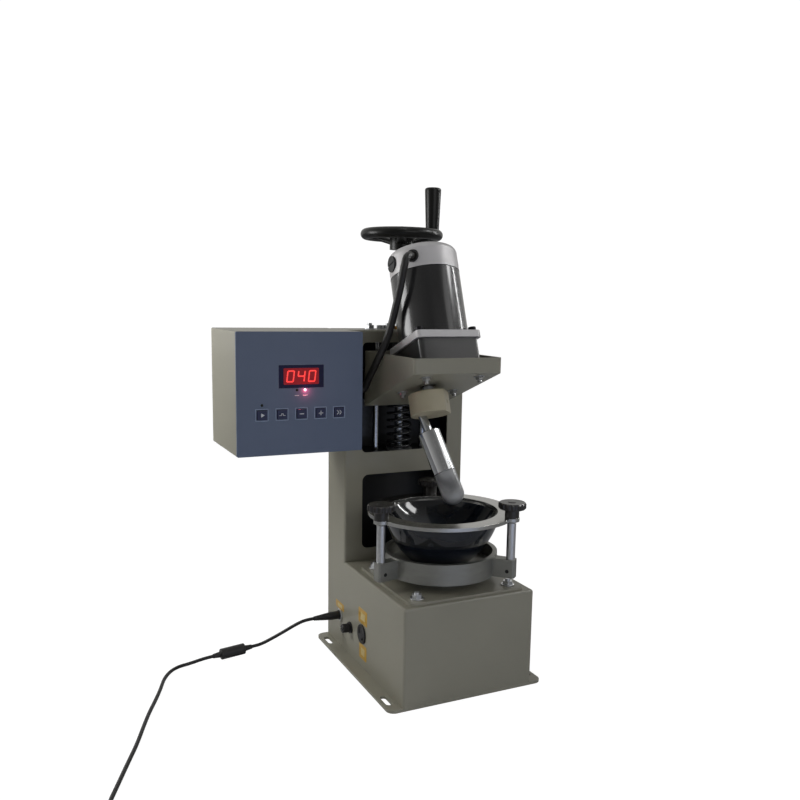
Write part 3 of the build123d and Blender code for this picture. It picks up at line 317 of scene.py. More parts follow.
for i in range(round(coil_turns * points_per_turn) + 1):
    wound = i / points_per_turn
    ring_r = coil_outer_r - coil_step * (coil_middle - abs(wound - coil_middle))
    climbed = min(max((wound - coil_middle) * 2 + 0.5, 0), 1)
    rise = min(max((wound - coil_turns + 0.5) * 2, 0), 1)
    height = lead_rest + coil_layer * climbed
    height += (adapter_middle - lead_rest - coil_layer) * rise * rise * (3 - 2 * rise)
    angle = -2 * pi * wound
    lead_route.append((coil_x + ring_r * cos(angle), coil_y + ring_r * sin(angle), height))
lead_route.append((coil_x - 0.004, coil_y - coil_outer_r, adapter_middle))
lead_route.append((coil_x - 0.010, coil_y - coil_outer_r, adapter_middle))
lead_curve = smooth_route("lead", lead_route)
lead_curve.bevel_depth = lead_r
lead_curve.bevel_resolution = 3
lead_curve.use_fill_caps = True
lead = bpy.data.objects.new("lead", lead_curve)
bpy.context.scene.collection.objects.link(lead)
lead_curve.materials.append(lead_rubber)
fix(lead, "frame")
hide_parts("power_cord", "cord_tail", "cord_coil")
for node in ("power_plug", "ferrite_choke"):
    dress(node, moulded_black)


# Motor cable
# Thicker black cable that hangs from the motor's end cap beside the tray and goes into the gland of
# the control box. The real cable follows the motor up and down; here it is one fixed tube.
def to_object(name, form, place, material, crease=35):
    """A finished mesh becomes a piece, smooth except where its faces turn sharply."""
    mesh = bpy.data.meshes.new(name)
    bmesh.ops.transform(form, matrix=place, verts=form.verts)
    bmesh.ops.recalc_face_normals(form, faces=form.faces)
    form.to_mesh(mesh)
    form.free()
    mesh.polygons.foreach_set("use_smooth", [True] * len(mesh.polygons))
    mesh.set_sharp_from_angle(angle=radians(crease))
    mesh.materials.append(material)
    piece = bpy.data.objects.new(name, mesh)
    bpy.context.scene.collection.objects.link(piece)
    return piece


def points_along(curve):
    """The points that a smooth route passes."""
    holder = bpy.data.objects.new(curve.name + "_line", curve)
    line = bpy.data.meshes.new_from_object(holder)
    points = [vertex.co.copy() for vertex in line.vertices]
    bpy.data.objects.remove(holder)
    bpy.data.meshes.remove(line)
    return points


def tube_along(name, points, radius, material, sides=14):
    """A round tube along points, its section carried on without a twist."""
    form = bmesh.new()
    heading = (points[1] - points[0]).normalized()
    across = heading.orthogonal().normalized()
    rings = []
    for i, point in enumerate(points):
        after = points[min(i + 1, len(points) - 1)]
        before = points[max(i - 1, 0)]
        heading = (after - before).normalized()
        across = (across - heading * across.dot(heading)).normalized()
        up = heading.cross(across)
        ring = []
        for k in range(sides):
            a = 2 * pi * k / sides
            ring.append(form.verts.new(point + (across * cos(a) + up * sin(a)) * radius))
        rings.append(ring)
    for low, high in zip(rings, rings[1:]):
        for k in range(sides):
            form.faces.new((low[k], low[(k + 1) % sides], high[(k + 1) % sides], high[k]))
    form.faces.new(rings[0])
    form.faces.new(rings[-1])
    return to_object(name, form, Matrix.Identity(4), material, crease=60)


cable_sheath = surface(
    "cable_sheath", colour(44, 42, 41), colour(27, 27, 26), 0.42, grain=0.0008, relief=0.00005
)
cable_r = 0.0042
gland_y = 0.042
gland_z = 0.3255
cable_route = [
    (-0.0219, -0.0045, 0.4787),
    (-0.0383, -0.0209, 0.4847),
    (-0.0433, -0.0210, 0.465),
    (-0.0452, -0.0175, 0.445),
    (-0.0470, -0.010, 0.424),
    (-0.0490, -0.003, 0.403),
    (-0.0525, 0.002, 0.385),
    (-0.0592, 0.008, 0.3665),
    (-0.0605, 0.021, 0.352),
    (-0.0615, 0.033, 0.3395),
    (-0.0625, gland_y, gland_z),
    (-0.076, gland_y, gland_z),
]
cable_line = points_along(smooth_route("cable", cable_route))
motor_cable = tube_along("motor_cable_tube", cable_line, cable_r, cable_sheath, sides=18)
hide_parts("motor_cable")
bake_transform(motor_cable)

# Base plate and housing
# Folded and welded sheet steel with a beige baked enamel: a plate with four slots, a low box in
# front, a column behind with two windows, and a screwed cover on the back.
def baked_enamel(name):
    """The beige enamel of all the sheet metal."""
    # The paler edge colour is a painted highlight along the folded edges, with a little wear.
    return surface(
        name, colour(166, 163, 147), colour(157, 154, 138), 0.4, patch=0.05, grain=0.0016,
        relief=0.00012, coat=0.15, edge=0.0006, edge_colour=colour(196, 193, 178),
    )


enamel = baked_enamel("beige_enamel")
dress("base_plate", enamel)


def shade_in_a_block(material, low, high, tone):
    """Between two corners of a block the finish takes a second tone: painted shade, where the inside of a
    box gets little light.
    """
    nodes = material.node_tree.nodes
    links = material.node_tree.links
    shader = nodes["Principled BSDF"]
    parts = nodes.new("ShaderNodeSeparateXYZ")
    links.new(nodes["Texture Coordinate"].outputs["Object"], parts.inputs["Vector"])
    inside = None
    for axis, start, end in zip("XYZ", low, high):
        within = nodes.new("ShaderNodeMath")
        within.operation = "COMPARE"
        within.inputs[1].default_value = (start + end) / 2
        within.inputs[2].default_value = (end - start) / 2
        links.new(parts.outputs[axis], within.inputs[0])
        if inside:
            both = nodes.new("ShaderNodeMath")
            both.operation = "MULTIPLY"
            links.new(inside, both.inputs[0])
            links.new(within.outputs["Value"], both.inputs[1])
            within = both
        inside = within.outputs["Value"]
    pick = nodes.new("ShaderNodeMix")
    pick.data_type = "RGBA"
    pick.inputs["B"].default_value = (*tone, 1)
    links.new(inside, pick.inputs["Factor"])
    links.new(shader.inputs["Base Color"].links[0].from_socket, pick.inputs["A"])
    links.new(pick.outputs["Result"], shader.inputs["Base Color"])


# Inside the column the enamel turns near black: painted shade, so its windows look dark.
enamel_shaded_inside = baked_enamel("enamel_shaded_inside")
shade_in_a_block(enamel_shaded_inside, (-0.0792, 0.0622, 0), (0.0792, 0.115, 0.3948), colour(34, 36, 39))
dress("housing", enamel_shaded_inside)
dress("rear_cover", enamel_shaded_inside)
# A near-black for the plates inside the column: painted shade, as on the column's inside.
painted_shade_black = surface(
    "painted_shade_black", colour(36, 38, 40), colour(26, 27, 29), 0.6, grain=0.0008, relief=0.00004
)


def on_face(origin, right, up):
    """The frame of a flat face as someone who looks at it sees it: right, up and towards them."""
    right = Vector(right)
    up = Vector(up)
    out = right.cross(up)
    place = Matrix((right, up, out)).transposed().to_4x4()
    return Matrix.Translation(origin) @ place


def turn_on_lathe(name, profile, place, material, steps=40):
    """A turned piece: the profile gives radius and height in the frame of its place."""
    form = bmesh.new()
    points = [form.verts.new((r, 0, z)) for r, z in profile]
    edges = [form.edges.new(pair) for pair in zip(points, points[1:])]
    bmesh.ops.spin(
        form, geom=points + edges, cent=(0, 0, 0), axis=(0, 0, 1), angle=2 * pi, steps=steps, use_merge=True
    )
    bmesh.ops.remove_doubles(form, verts=form.verts, dist=1e-6)
    return to_object(name, form, place, material)


def rounded_outline(wide, high, corner, middle=(0, 0)):
    """The outline of a rectangle with round corners."""
    points = []
    for k, (i, j) in enumerate(((1, 1), (-1, 1), (-1, -1), (1, -1))):
        for step in range(5):
            a = (k + step / 4) * pi / 2
            x = middle[0] + i * (wide / 2 - corner) + corner * cos(a)
            points.append((x, middle[1] + j * (high / 2 - corner) + corner * sin(a)))
    return points


def ring_outline(radius, count, middle=(0, 0)):
    """Points round a circle."""
    angles = [2 * pi * i / count for i in range(count)]
    return [(middle[0] + radius * cos(a), middle[1] + radius * sin(a)) for a in angles]


def cut_plate(name, outlines, thick, place, material, soft_edge=0.0):
    """Flat pieces of one thickness, their upper edges softly broken where asked."""
    form = bmesh.new()
    for outline in outlines:
        bottom = form.faces.new([form.verts.new((x, y, 0)) for x, y in outline])
        lifted = bmesh.ops.extrude_face_region(form, geom=[bottom])["geom"]
        raised = [item for item in lifted if isinstance(item, bmesh.types.BMVert)]
        bmesh.ops.translate(form, verts=raised, vec=(0, 0, thick))
        if soft_edge:
            rim = [edge for edge in form.edges if edge.verts[0] in raised and edge.verts[1] in raised]
            bmesh.ops.bevel(form, geom=rim, offset=soft_edge, segments=2, affect="EDGES", profile=0.6)
    return to_object(name, form, place, material)


def cross_screw(name, place, head_r, material):
    """A raised screw head with its cross drawn as a thin near-black plate on top: painted shade standing in
    for the recess.
    """
    high = head_r * 0.45
    profile = [(0, high), (head_r * 0.45, high * 0.93), (head_r * 0.8, high * 0.62), (head_r, 0)]
    head = turn_on_lathe(name, profile, place, material, steps=24)
    long = head_r * 0.55
    half = head_r * 0.1
    bars = [
        [(-long, -half), (long, -half), (long, half), (-long, half)],
        [(-half, -long), (half, -long), (half, long), (-half, long)],
    ]
    lifted = place @ Matrix.Translation((0, 0, high * 0.86))
    cross = cut_plate(name + "_cross", bars, high * 0.16, lifted, dark_recess)
    return head, cross


# A near-black for dark joints and unlit lamps, and painted shade in screw crosses, vent slots and holes.
dark_recess = surface("dark_recess", colour(12, 12, 12), colour(6, 6, 6), 0.8, grain=0.0005, relief=0.00001)
bright_zinc = surface(
    "bright_zinc", colour(222, 223, 224), colour(190, 192, 195), 0.34, metal=1.0, patch=0.004, grain=0.0006,
    relief=0.00002, edge=0.0002,
)
cover_face_y = 0.116
cover_screw_places = [(x, z) for x in (-0.073, 0.073) for z in (0.018, 0.2, 0.382)]
for i, (x, z) in enumerate(cover_screw_places):
    place = on_face((x, cover_face_y, z), (-1, 0, 0), (0, 0, 1))
    for piece in cross_screw(f"cover_screw_{i}", place, 0.0032, bright_zinc):
        fix(piece, "frame")

# The cover's edge shows as a fine dark joint on both flanks of the column.
joint_y = 0.114
for side, name in ((-1, "left"), (1, "right")):
    right = (0, side, 0)
    place = on_face((side * 0.08, joint_y, 0.2), right, (0, 0, 1))
    joint = cut_plate(
        f"cover_joint_{name}", [rounded_outline(0.0004, 0.386, 0.0001)], 0.00006, place, dark_recess
    )
    fix(joint, "frame")

# Stick-on labels
# Three small yellow labels with a paler field, one beside the jack and two beside the switch, left bare.
yellow_film = surface("yellow_film", colour(214, 170, 50), colour(202, 155, 38), 0.35, patch=0.01,
    grain=0.0004,
                      relief=0.00001, coat=0.3)
pale_film = surface("pale_film", colour(226, 205, 140), colour(216, 192, 124), 0.4, patch=0.01,
    grain=0.0004,
                    relief=0.00001)
ink = surface("ink", colour(40, 36, 30), colour(28, 25, 21), 0.5, grain=0.0004, relief=0.000005)
wall_x = -0.08
label_thick = 0.0002
labels = {
    "jack": (0.059, 0.087, 0.049, 0.058),
    "switch_upper": (-0.015, 0.011, 0.056, 0.074),
    "switch_lower": (-0.014, 0.008, 0.013, 0.031),
}
for name, (y0, y1, z0, z1) in labels.items():
    place = on_face((wall_x, (y0 + y1) / 2, (z0 + z1) / 2), (0, -1, 0), (0, 0, 1))
    wide = y1 - y0
    high = z1 - z0
    film = cut_plate(
        f"label_{name}", [rounded_outline(wide, high, 0.0015)], label_thick, place, yellow_film, 0.00005
    )
    fix(film, "frame")
    above = place @ Matrix.Translation((0, 0, label_thick))
    field = cut_plate(
        f"label_{name}_field", [rounded_outline(wide * 0.5, high * 0.5, 0.001)], 0.00004, above, pale_film
    )
    fix(field, "frame")

# Jack, fuse and switch
# Moulded black fittings pushed through round holes in the left wall: a barrel jack with its nut, a
# screw-in fuse cap and a round rocker switch.
for node in ("dc_jack", "fuse_holder", "fuse_cap", "rocker_bezel", "rocker"):
    dress(node, moulded_black)
jack_place = on_face((-0.08, jack_y, jack_z), (0, -1, 0), (0, 0, 1))
jack_nut = turn_on_lathe(
    "jack_nut",
    [(0.0061, 0), (0.0078, 0), (0.0082, 0.0003), (0.0082, 0.0012), (0.0078, 0.0016), (0.0061, 0.0016)],
    jack_place, bright_zinc, steps=6,
)
fix(jack_nut, "frame")
fuse_place = on_face((-0.0913, 0.037, 0.038), (0, -1, 0), (0, 0, 1))
cap_ribs = []
for i in range(18):
    a = 2 * pi * i / 18
    cap_ribs.append(ring_outline(0.0003, 6, middle=(0.005 * cos(a), 0.005 * sin(a))))
fuse_ribs = cut_plate(
    "fuse_cap_ribs", cap_ribs, 0.0075, fuse_place @ Matrix.Translation((0, 0, -0.0085)), moulded_black,
    0.0001
)
fix(fuse_ribs, "fuse_cap_body")

# Control box
# A five sided enamelled sheet box on the column's left flank with a cable gland in its right wall.
dress("control_box", enamel)
gland_place = on_face((-0.076, gland_y, gland_z), (0, 1, 0), (0, 0, 1))
gland_nut = turn_on_lathe(
    "gland_dome",
    [(0.0041, 0.0012), (0.005, 0.0014), (0.0064, 0.0006), (0.0069, -0.0004), (0.0069, -0.0036),
     (0.0066, -0.0038)],
    gland_place, moulded_black, steps=30,
)
fix(gland_nut, "frame")
# Vent slots on the box's back, drawn as flat near-black strips: painted shade standing in for open slots.
vent_lines = []
for row in range(7):
    vent_lines.append(rounded_outline(0.05, 0.0022, 0.0011, (0, row * 0.0065 - 0.0195)))
vents = cut_plate(
    "control_box_vents", vent_lines, 0.00008, on_face((-0.15, 0.12, 0.329), (-1, 0, 0), (0, 0, 1)),
    dark_recess
)
fix(vents, "frame")

# Control panel
# A slate blue printed film on a plate, with a framed display, three small lamps and five keys.
slate_film = surface(
    "slate_film", colour(108, 121, 146), colour(99, 112, 137), 0.42, patch=0.05, grain=0.0005,
    relief=0.00002,
    edge=0.0004, edge_colour=colour(120, 128, 140),
)
dress("control_panel", slate_film)
key_frame_film = surface(
    "key_frame_film", colour(176, 192, 220), colour(164, 180, 208), 0.5, patch=0.01, grain=0.0004,
    relief=0.00001
)
white_print = surface("white_print", colour(232, 235, 238), colour(218, 222, 227), 0.5, grain=0.0004,
                      relief=0.000005)
key_blue = surface(
    "key_blue", colour(34, 42, 84), colour(26, 33, 72), 0.38, patch=0.006, grain=0.0004, relief=0.00002,
    coat=0.2
)
panel_y = 0.005
print_thick = 0.00008


def on_panel(x, z, y=panel_y):
    """A place on the control panel as the user sees it."""
    return on_face((x, y, z), (1, 0, 0), (0, 0, 1))


def bar(x0, y0, x1, y1, wide):
    """The outline of a straight stroke."""
    along = Vector((x1 - x0, y1 - y0)).normalized() * (wide / 2)
    side = Vector((-along.y, along.x))
    ends = [Vector((x0, y0)) - along, Vector((x1, y1)) + along]
    return [ends[0] - side, ends[1] - side, ends[1] + side, ends[0] + side]


button_z = 0.3067
button_x = (-0.1957, -0.1736, -0.1516, -0.1297, -0.108)
button_face_y = 0.0034
m = 0.001
key_signs = (
    [ring_outline(0.0026, 3)],
    [bar(-3 * m, -m, -m, -m, 0.0007), bar(-m, -m, -m, m, 0.0007), bar(-m, m, m, m, 0.0007),
     bar(m, m, m, -m, 0.0007), bar(m, -m, 3 * m, -m, 0.0007)],
    [bar(-2 * m, 0, 2 * m, 0, 0.0009)],
    [bar(-2 * m, 0, 2 * m, 0, 0.0009), bar(0, -2 * m, 0, 2 * m, 0.0009)],
    [bar(-2.5 * m, 2 * m, -0.5 * m, 0, 0.0008), bar(-0.5 * m, 0, -2.5 * m, -2 * m, 0.0008),
     bar(0.5 * m, 2 * m, 2.5 * m, 0, 0.0008), bar(2.5 * m, 0, 0.5 * m, -2 * m, 0.0008)],
)
for number, (x, sign) in enumerate(zip(button_x, key_signs), 1):
    dress(f"button_{number}", key_blue)
    border = [
        rounded_outline(0.0142, 0.0006, 0.0002, (0, side * 0.0064)) for side in (-1, 1)
    ] + [rounded_outline(0.0006, 0.0134, 0.0002, (side * 0.0068, 0)) for side in (-1, 1)]
    frame_print = cut_plate(
        f"key_{number}_frame", border, print_thick, on_panel(x, button_z), key_frame_film
    )
    fix(frame_print, "frame")
    mark = cut_plate(
        f"key_{number}_sign", sign, print_thick, on_panel(x, button_z, button_face_y), white_print
    )
    fix(mark, f"key_{number}")

# Display: dark glass with a red lit field and three figures of seven bars each.
dress("display_window",
    surface("dark_glass", colour(26, 27, 72), colour(20, 21, 60), 0.12, patch=0.02, grain=0.002,
                                relief=0.000005, coat=0.6))
dress("circuit_board", surface("board_green", colour(28, 84, 50), colour(18, 66, 38), 0.45, patch=0.004,
                               grain=0.001, relief=0.00003))


def glowing(name, tone, strength, core):
    """A lit face that is a little brighter in patches, as a diffuser over small lamps is."""
    material = bpy.data.materials.new(name)
    material.use_nodes = True
    nodes = material.node_tree.nodes
    links = material.node_tree.links
    shader = nodes["Principled BSDF"]
    shader.inputs["Roughness"].default_value = 0.3
    shader.inputs["Emission Strength"].default_value = strength
    spots = nodes.new("ShaderNodeTexNoise")
    spots.inputs["Scale"].default_value = 420
    place = nodes.new("ShaderNodeTexCoord")
    links.new(place.outputs["Object"], spots.inputs["Vector"])
    tones = nodes.new("ShaderNodeMix")
    tones.data_type = "RGBA"
    tones.inputs["A"].default_value = (*tone, 1)
    tones.inputs["B"].default_value = (*core, 1)
    links.new(spots.outputs["Fac"], tones.inputs["Factor"])
    links.new(tones.outputs["Result"], shader.inputs["Base Color"])
    links.new(tones.outputs["Result"], shader.inputs["Emission Color"])
    return material


red_field = glowing("red_field", colour(96, 0, 8), 0.9, colour(120, 2, 12))
red_figure = glowing("red_figure", colour(226, 40, 40), 1.0, colour(255, 80, 72))
field = cut_plate(
    "display_field", [rounded_outline(0.040, 0.0178, 0.001)], 0.00005, on_panel(-0.1515, 0.3477, 0.00529),
    red_field
)
fix(field, "frame")
half_wide = 0.0036
half_high = 0.0058
stroke = 0.0015
gap = 0.0009
upper = half_high - gap
seven_bars = {
    "top": (-half_wide + gap, half_high, half_wide - gap, half_high),
    "middle": (-half_wide + gap, 0, half_wide - gap, 0),
    "bottom": (-half_wide + gap, -half_high, half_wide - gap, -half_high),
    "upper_left": (-half_wide, gap, -half_wide, upper),
    "upper_right": (half_wide, gap, half_wide, upper),
    "lower_left": (-half_wide, -upper, -half_wide, -gap),
    "lower_right": (half_wide, -upper, half_wide, -gap),
}
figures = {
    "0": ("top", "bottom", "upper_left", "upper_right", "lower_left", "lower_right"),
    "4": ("middle", "upper_left", "upper_right", "lower_right"),
}
lean = 0.12
for i, figure in enumerate("040"):
    strokes = []
    for part in figures[figure]:
        outline = bar(*seven_bars[part], stroke)
        strokes.append([(x + lean * y, y) for x, y in outline])
    place = on_panel(-0.1515 + (i - 1) * 0.0122, 0.3477, 0.00524)
    piece = cut_plate(f"display_figure_{i}", strokes, 0.00006, place, red_figure)
    fix(piece, "frame")

# Lamps: two dark ones, and one lit pink that throws a little red light on the film round it.
lamp_dome = [(0, 0.0007), (0.0006, 0.0006), (0.0011, 0.0003), (0.00135, 0)]
lamp_lit = glowing("lamp_lit", colour(255, 190, 205), 3.0, colour(255, 225, 235))
lamp_places = {"left": (-0.1566, 0.3328), "lit": (-0.1475, 0.3328), "run": (-0.1956, 0.3173)}
for name, (x, z) in lamp_places.items():
    finish = lamp_lit if name == "lit" else dark_recess
    lamp = turn_on_lathe(f"lamp_{name}", lamp_dome, on_panel(x, z, 0.00498), finish, steps=20)
    fix(lamp, "frame")
red_light = bpy.data.lights.new("lamp_glow", "POINT")
red_light.energy = 0.0035
red_light.color = (1, 0.12, 0.2)
red_light.shadow_soft_size = 0.001
red_lamp = bpy.data.objects.new("lamp_glow", red_light)
red_lamp.location = (-0.1468, 0.0005, 0.3318)
bpy.context.scene.collection.objects.link(red_lamp)
lamp_lines = [
    rounded_outline(0.005, 0.0009, 0.0003, (-0.0047, 0)),
    rounded_outline(0.0058, 0.0009, 0.0003, (0.0045, 0))
]
lamp_marks = cut_plate("lamp_marks", lamp_lines, print_thick, on_panel(-0.152, 0.3268), white_print)
fix(lamp_marks, "frame")

# Lift
# Inside the column: two cross plates, two ground guide rods, a lead screw in a bronze bush, the
# slide block with its nut, and a spring that pushes the block up. The screw is cut with a thread.
# The cross plates take the near-black painted shade of the column's inside.
dress("lift_plates", painted_shade_black)
ground_steel = surface(
    "ground_steel", colour(196, 198, 200), colour(168, 171, 174), 0.2, metal=1.0, patch=0.006, grain=0.0004,
    relief=0.00001, stretch=(1, 1, 0.15),
)
black_oxide = surface(
    "black_oxide", colour(48, 49, 48), colour(32, 33, 33), 0.38, metal=0.55, patch=0.008, grain=0.0007,
    relief=0.00003, edge=0.0003, edge_colour=colour(92, 92, 90),
)
bronze = surface("bronze", colour(176, 134, 76), colour(148, 108, 58), 0.32, metal=1.0, patch=0.005,
    grain=0.0005,
                 relief=0.00002, edge=0.0002)
dress("guide_rods", ground_steel)
dress("slide_block", black_oxide)
for node in ("screw_nut", "screw_bearing"):
    dress(node, bronze)
dress("spring_washer", bright_zinc)
dress("top_fasteners", bright_zinc)
screw_y = 0.079
screw_r = 0.006
thread_root_r = 0.0052
thread_pitch = 0.002
thread_low = 0.2475
thread_high = 0.3835
thread_steps = 24
screw_form = bmesh.new()
thread_turns = round((thread_high - thread_low) / thread_pitch)
tooth = ((0.0, thread_root_r), (0.2, thread_root_r), (0.4, screw_r), (0.6, screw_r), (0.8, thread_root_r),
         (1.0, thread_root_r))
rows = []
for i in range(thread_turns * thread_steps + 1):
    a = 2 * pi * i / thread_steps
    low = thread_low + thread_pitch * i / thread_steps
    rows.append(
        [screw_form.verts.new((r * cos(a), r * sin(a), low + part * thread_pitch)) for part, r in tooth]
    )
for row, after in zip(rows, rows[1:]):
    for k in range(len(tooth) - 1):
        screw_form.faces.new((row[k], after[k], after[k + 1], row[k + 1]))
bmesh.ops.remove_doubles(screw_form, verts=screw_form.verts, dist=1e-6)
screw_place = Matrix.Translation((0, screw_y, 0))
lead_screw_thread = to_object("lead_screw_thread", screw_form, screw_place, ground_steel)
fix(lead_screw_thread, "wheel")
core_profile = [
    (0, 0.238), (0.0045, 0.238), (0.005, 0.2385), (0.005, 0.2463), (0.006, 0.2463), (0.006, 0.2478),
    (thread_root_r, 0.2483), (thread_root_r, 0.385), (0.006, 0.3858), (0.006, 0.5115), (0.0055, 0.512),
    (0, 0.512),
]
lead_screw_core = turn_on_lathe("lead_screw_core", core_profile, screw_place, ground_steel)
fix(lead_screw_core, "wheel")
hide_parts("lead_screw")

spring_steel = surface(
    "spring_steel", colour(66, 68, 70), colour(40, 41, 43), 0.24, metal=0.6, patch=0.004, grain=0.0006,
    relief=0.00002, coat=0.6,
)
wire_r = 0.0016
spring_ring_r = 0.0144
spring_low = 0.248 + wire_r
spring_high = 0.310 - wire_r
closed_pitch = 0.0031
open_turns = 6
open_pitch = (spring_high - spring_low - 2 * closed_pitch) / open_turns
spring_turns = open_turns + 2
spring_line = []
for i in range(spring_turns * 28 + 1):
    wound = i / 28
    opened = min(max(wound - 1, 0), open_turns)
    height = spring_low + (wound - opened) * closed_pitch + opened * open_pitch
    angle = 2 * pi * wound
    spring_line.append(Vector((spring_ring_r * cos(angle), screw_y + spring_ring_r * sin(angle), height)))
spring = tube_along("pressure_spring_wire", spring_line, wire_r, spring_steel, sides=12)
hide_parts("pressure_spring")
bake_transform(spring)

# Round washers lie round the nuts on the column's top.
top_z = 0.396
washer_ring = [
    (0.00585, 0), (0.0072, 0), (0.0074, 0.0002), (0.0074, 0.0008), (0.0072, 0.001), (0.00585, 0.001)
]
washer_ring.append(washer_ring[0])
for i, x in enumerate((-0.041, -0.017, 0.017, 0.041)):
    washer = turn_on_lathe(
        f"top_washer_{i}", washer_ring, Matrix.Translation((x, screw_y, top_z)), bright_zinc, steps=32
    )
    fix(washer, "frame")

# Motor tray
# A folded sheet tray with the same enamel, hung on the slide block. Its floor is tilted and carries
# the drive on four long bolts, black heads above and bright nuts below.
dress("motor_tray", enamel)
tilt = radians(20)
drive_axis = Vector((0, sin(tilt), cos(tilt)))
drive_origin = Vector((0, -0.0308, 0.33821))
drive = Matrix.Translation(drive_origin) @ Matrix(
    ((1, 0, 0), (0, cos(tilt), -sin(tilt)), (0, sin(tilt), cos(tilt)))
).inverted().to_4x4()


def two_finishes_along_drive(name, upper, lower, rough, border):
    """A metal that is one colour above a height on the drive's axis and another below it."""
    material = surface(
        name, upper, upper, rough, metal=1.0, patch=0.004, grain=0.0005, relief=0.00002, edge=0.0002
    )
    nodes = material.node_tree.nodes
    links = material.node_tree.links
    shader = nodes["Principled BSDF"]
    place = nodes["Texture Coordinate"]
    along = nodes.new("ShaderNodeVectorMath")
    along.operation = "DOT_PRODUCT"
    along.inputs[1].default_value = drive_axis
    links.new(place.outputs["Object"], along.inputs[0])
    above = nodes.new("ShaderNodeMath")
    above.operation = "GREATER_THAN"
    above.inputs[1].default_value = drive_origin.dot(drive_axis) + border
    links.new(along.outputs["Value"], above.inputs[0])
    pick = nodes.new("ShaderNodeMix")
    pick.data_type = "RGBA"
    pick.inputs["A"].default_value = (*lower, 1)
    links.new(above.outputs["Value"], pick.inputs["Factor"])
    links.new(shader.inputs["Base Color"].links[0].from_socket, pick.inputs["B"])
    links.new(pick.outputs["Result"], shader.inputs["Base Color"])
    return material


dress(
    "gearbox_bolts",
    two_finishes_along_drive("long_bolts", colour(40, 40, 42), colour(170, 171, 172), 0.3, 0.02)
)
nut_washer = [
    (0.0047, 0), (0.006, 0), (0.0062, 0.0002), (0.0062, 0.0006), (0.006, 0.0008), (0.0047, 0.0008)
]
nut_washer.append(nut_washer[0])
tray_bolt_half_x = 0.033
tray_bolt_half_y = 0.032
for i, (side_x, side_y) in enumerate(((-1, -1), (-1, 1), (1, -1), (1, 1))):
    x, y = side_x * tray_bolt_half_x, side_y * tray_bolt_half_y
    place = drive @ Matrix.Translation((x, y, -0.0008))
    washer = turn_on_lathe(f"tray_washer_{i}", nut_washer, place, bright_zinc, steps=28)
    fix(washer, "carriage")

# Gearbox and motor
# A black enamelled gear case with a light cast flange, a black enamelled motor and a light cast end
# cap with two screwed brush caps, four cover screws and a rubber bush for the cable.
gear_enamel = surface(
    "gear_enamel", colour(62, 61, 61), colour(46, 46, 46), 0.34, patch=0.03, grain=0.0014, relief=0.0001,
    coat=0.35, edge=0.0005, edge_colour=colour(110, 108, 104),
)
cast_light = surface(
    "cast_light", colour(232, 229, 228), colour(220, 218, 217), 0.42, metal=0.1, patch=0.02, grain=0.0009,
    relief=0.00007, edge=0.0005, edge_colour=colour(240, 239, 237),
)
motor_enamel = surface(
    "motor_enamel", colour(39, 39, 40), colour(30, 30, 31), 0.24, patch=0.04, grain=0.0018, relief=0.00004,
    coat=0.5, edge=0.0004, stretch=(1, 1, 0.3),
)
dress("gearbox", gear_enamel)
dress("gearbox_flange", cast_light)
dress("motor_body", motor_enamel)
dress("motor_end_cap", cast_light)
dress("brush_caps", moulded_black)
for i in range(4):
    a = radians(45 + 90 * i)
    place = drive @ Matrix.Translation((0.026 * cos(a), 0.026 * sin(a), 0.157))
    for piece in cross_screw(f"end_cap_screw_{i}", place, 0.0033, bright_zinc):
        fix(piece, "carriage")
bush_turn = radians(226.8)
out_way = Vector((cos(bush_turn), sin(bush_turn), 0))
bush_local = Matrix.Translation((0, 0, 0.141)) @ Matrix((
    (-sin(bush_turn), 0, out_way.x), (cos(bush_turn), 0, out_way.y), (0, 1, 0)
)).to_4x4() @ Matrix.Translation((0, 0, 0.0398))
bush_profile = [
    (0.0043, -0.003), (0.0056, -0.003), (0.0056, 0), (0.0068, 0.0001), (0.0074, 0.0008),
    (0.0068, 0.0016), (0.0054, 0.0019), (0.0043, 0.0012), (0.0043, -0.003),
]
cable_bush = turn_on_lathe("cable_bush", bush_profile, drive @ bush_local, lead_rubber, steps=32)
fix(cable_bush, "carriage")
joint_profile = [(0.0398, 0), (0.04015, 0.00012), (0.04015, 0.00038), (0.0398, 0.0005)]
case_joint = turn_on_lathe(
    "motor_joint", joint_profile, drive @ Matrix.Translation((0, 0, 0.12775)), dark_recess, steps=96
)
fix(case_joint, "carriage")

# Head and pestle
# The motor's shaft swings a cream enamelled head. A ground rod runs aslant from it into a chromed
# sleeve, which holds the grey agate pestle.
dress("output_shaft", ground_steel)
dress("pestle_rod", ground_steel)
cream_enamel = surface(
    "cream_enamel", colour(203, 194, 166), colour(189, 180, 152), 0.45, patch=0.012, grain=0.0012,
    relief=0.0001,
    edge=0.0006, edge_colour=colour(200, 193, 172),
)
dress("eccentric_head", cream_enamel)
chrome = surface(
    "chrome", colour(226, 227, 229), colour(196, 198, 201), 0.12, metal=1.0, patch=0.01, grain=0.0003,
    relief=0.000006, edge=0.0003, stretch=(1, 1, 0.2),
)
dress("pestle_sleeve", chrome)


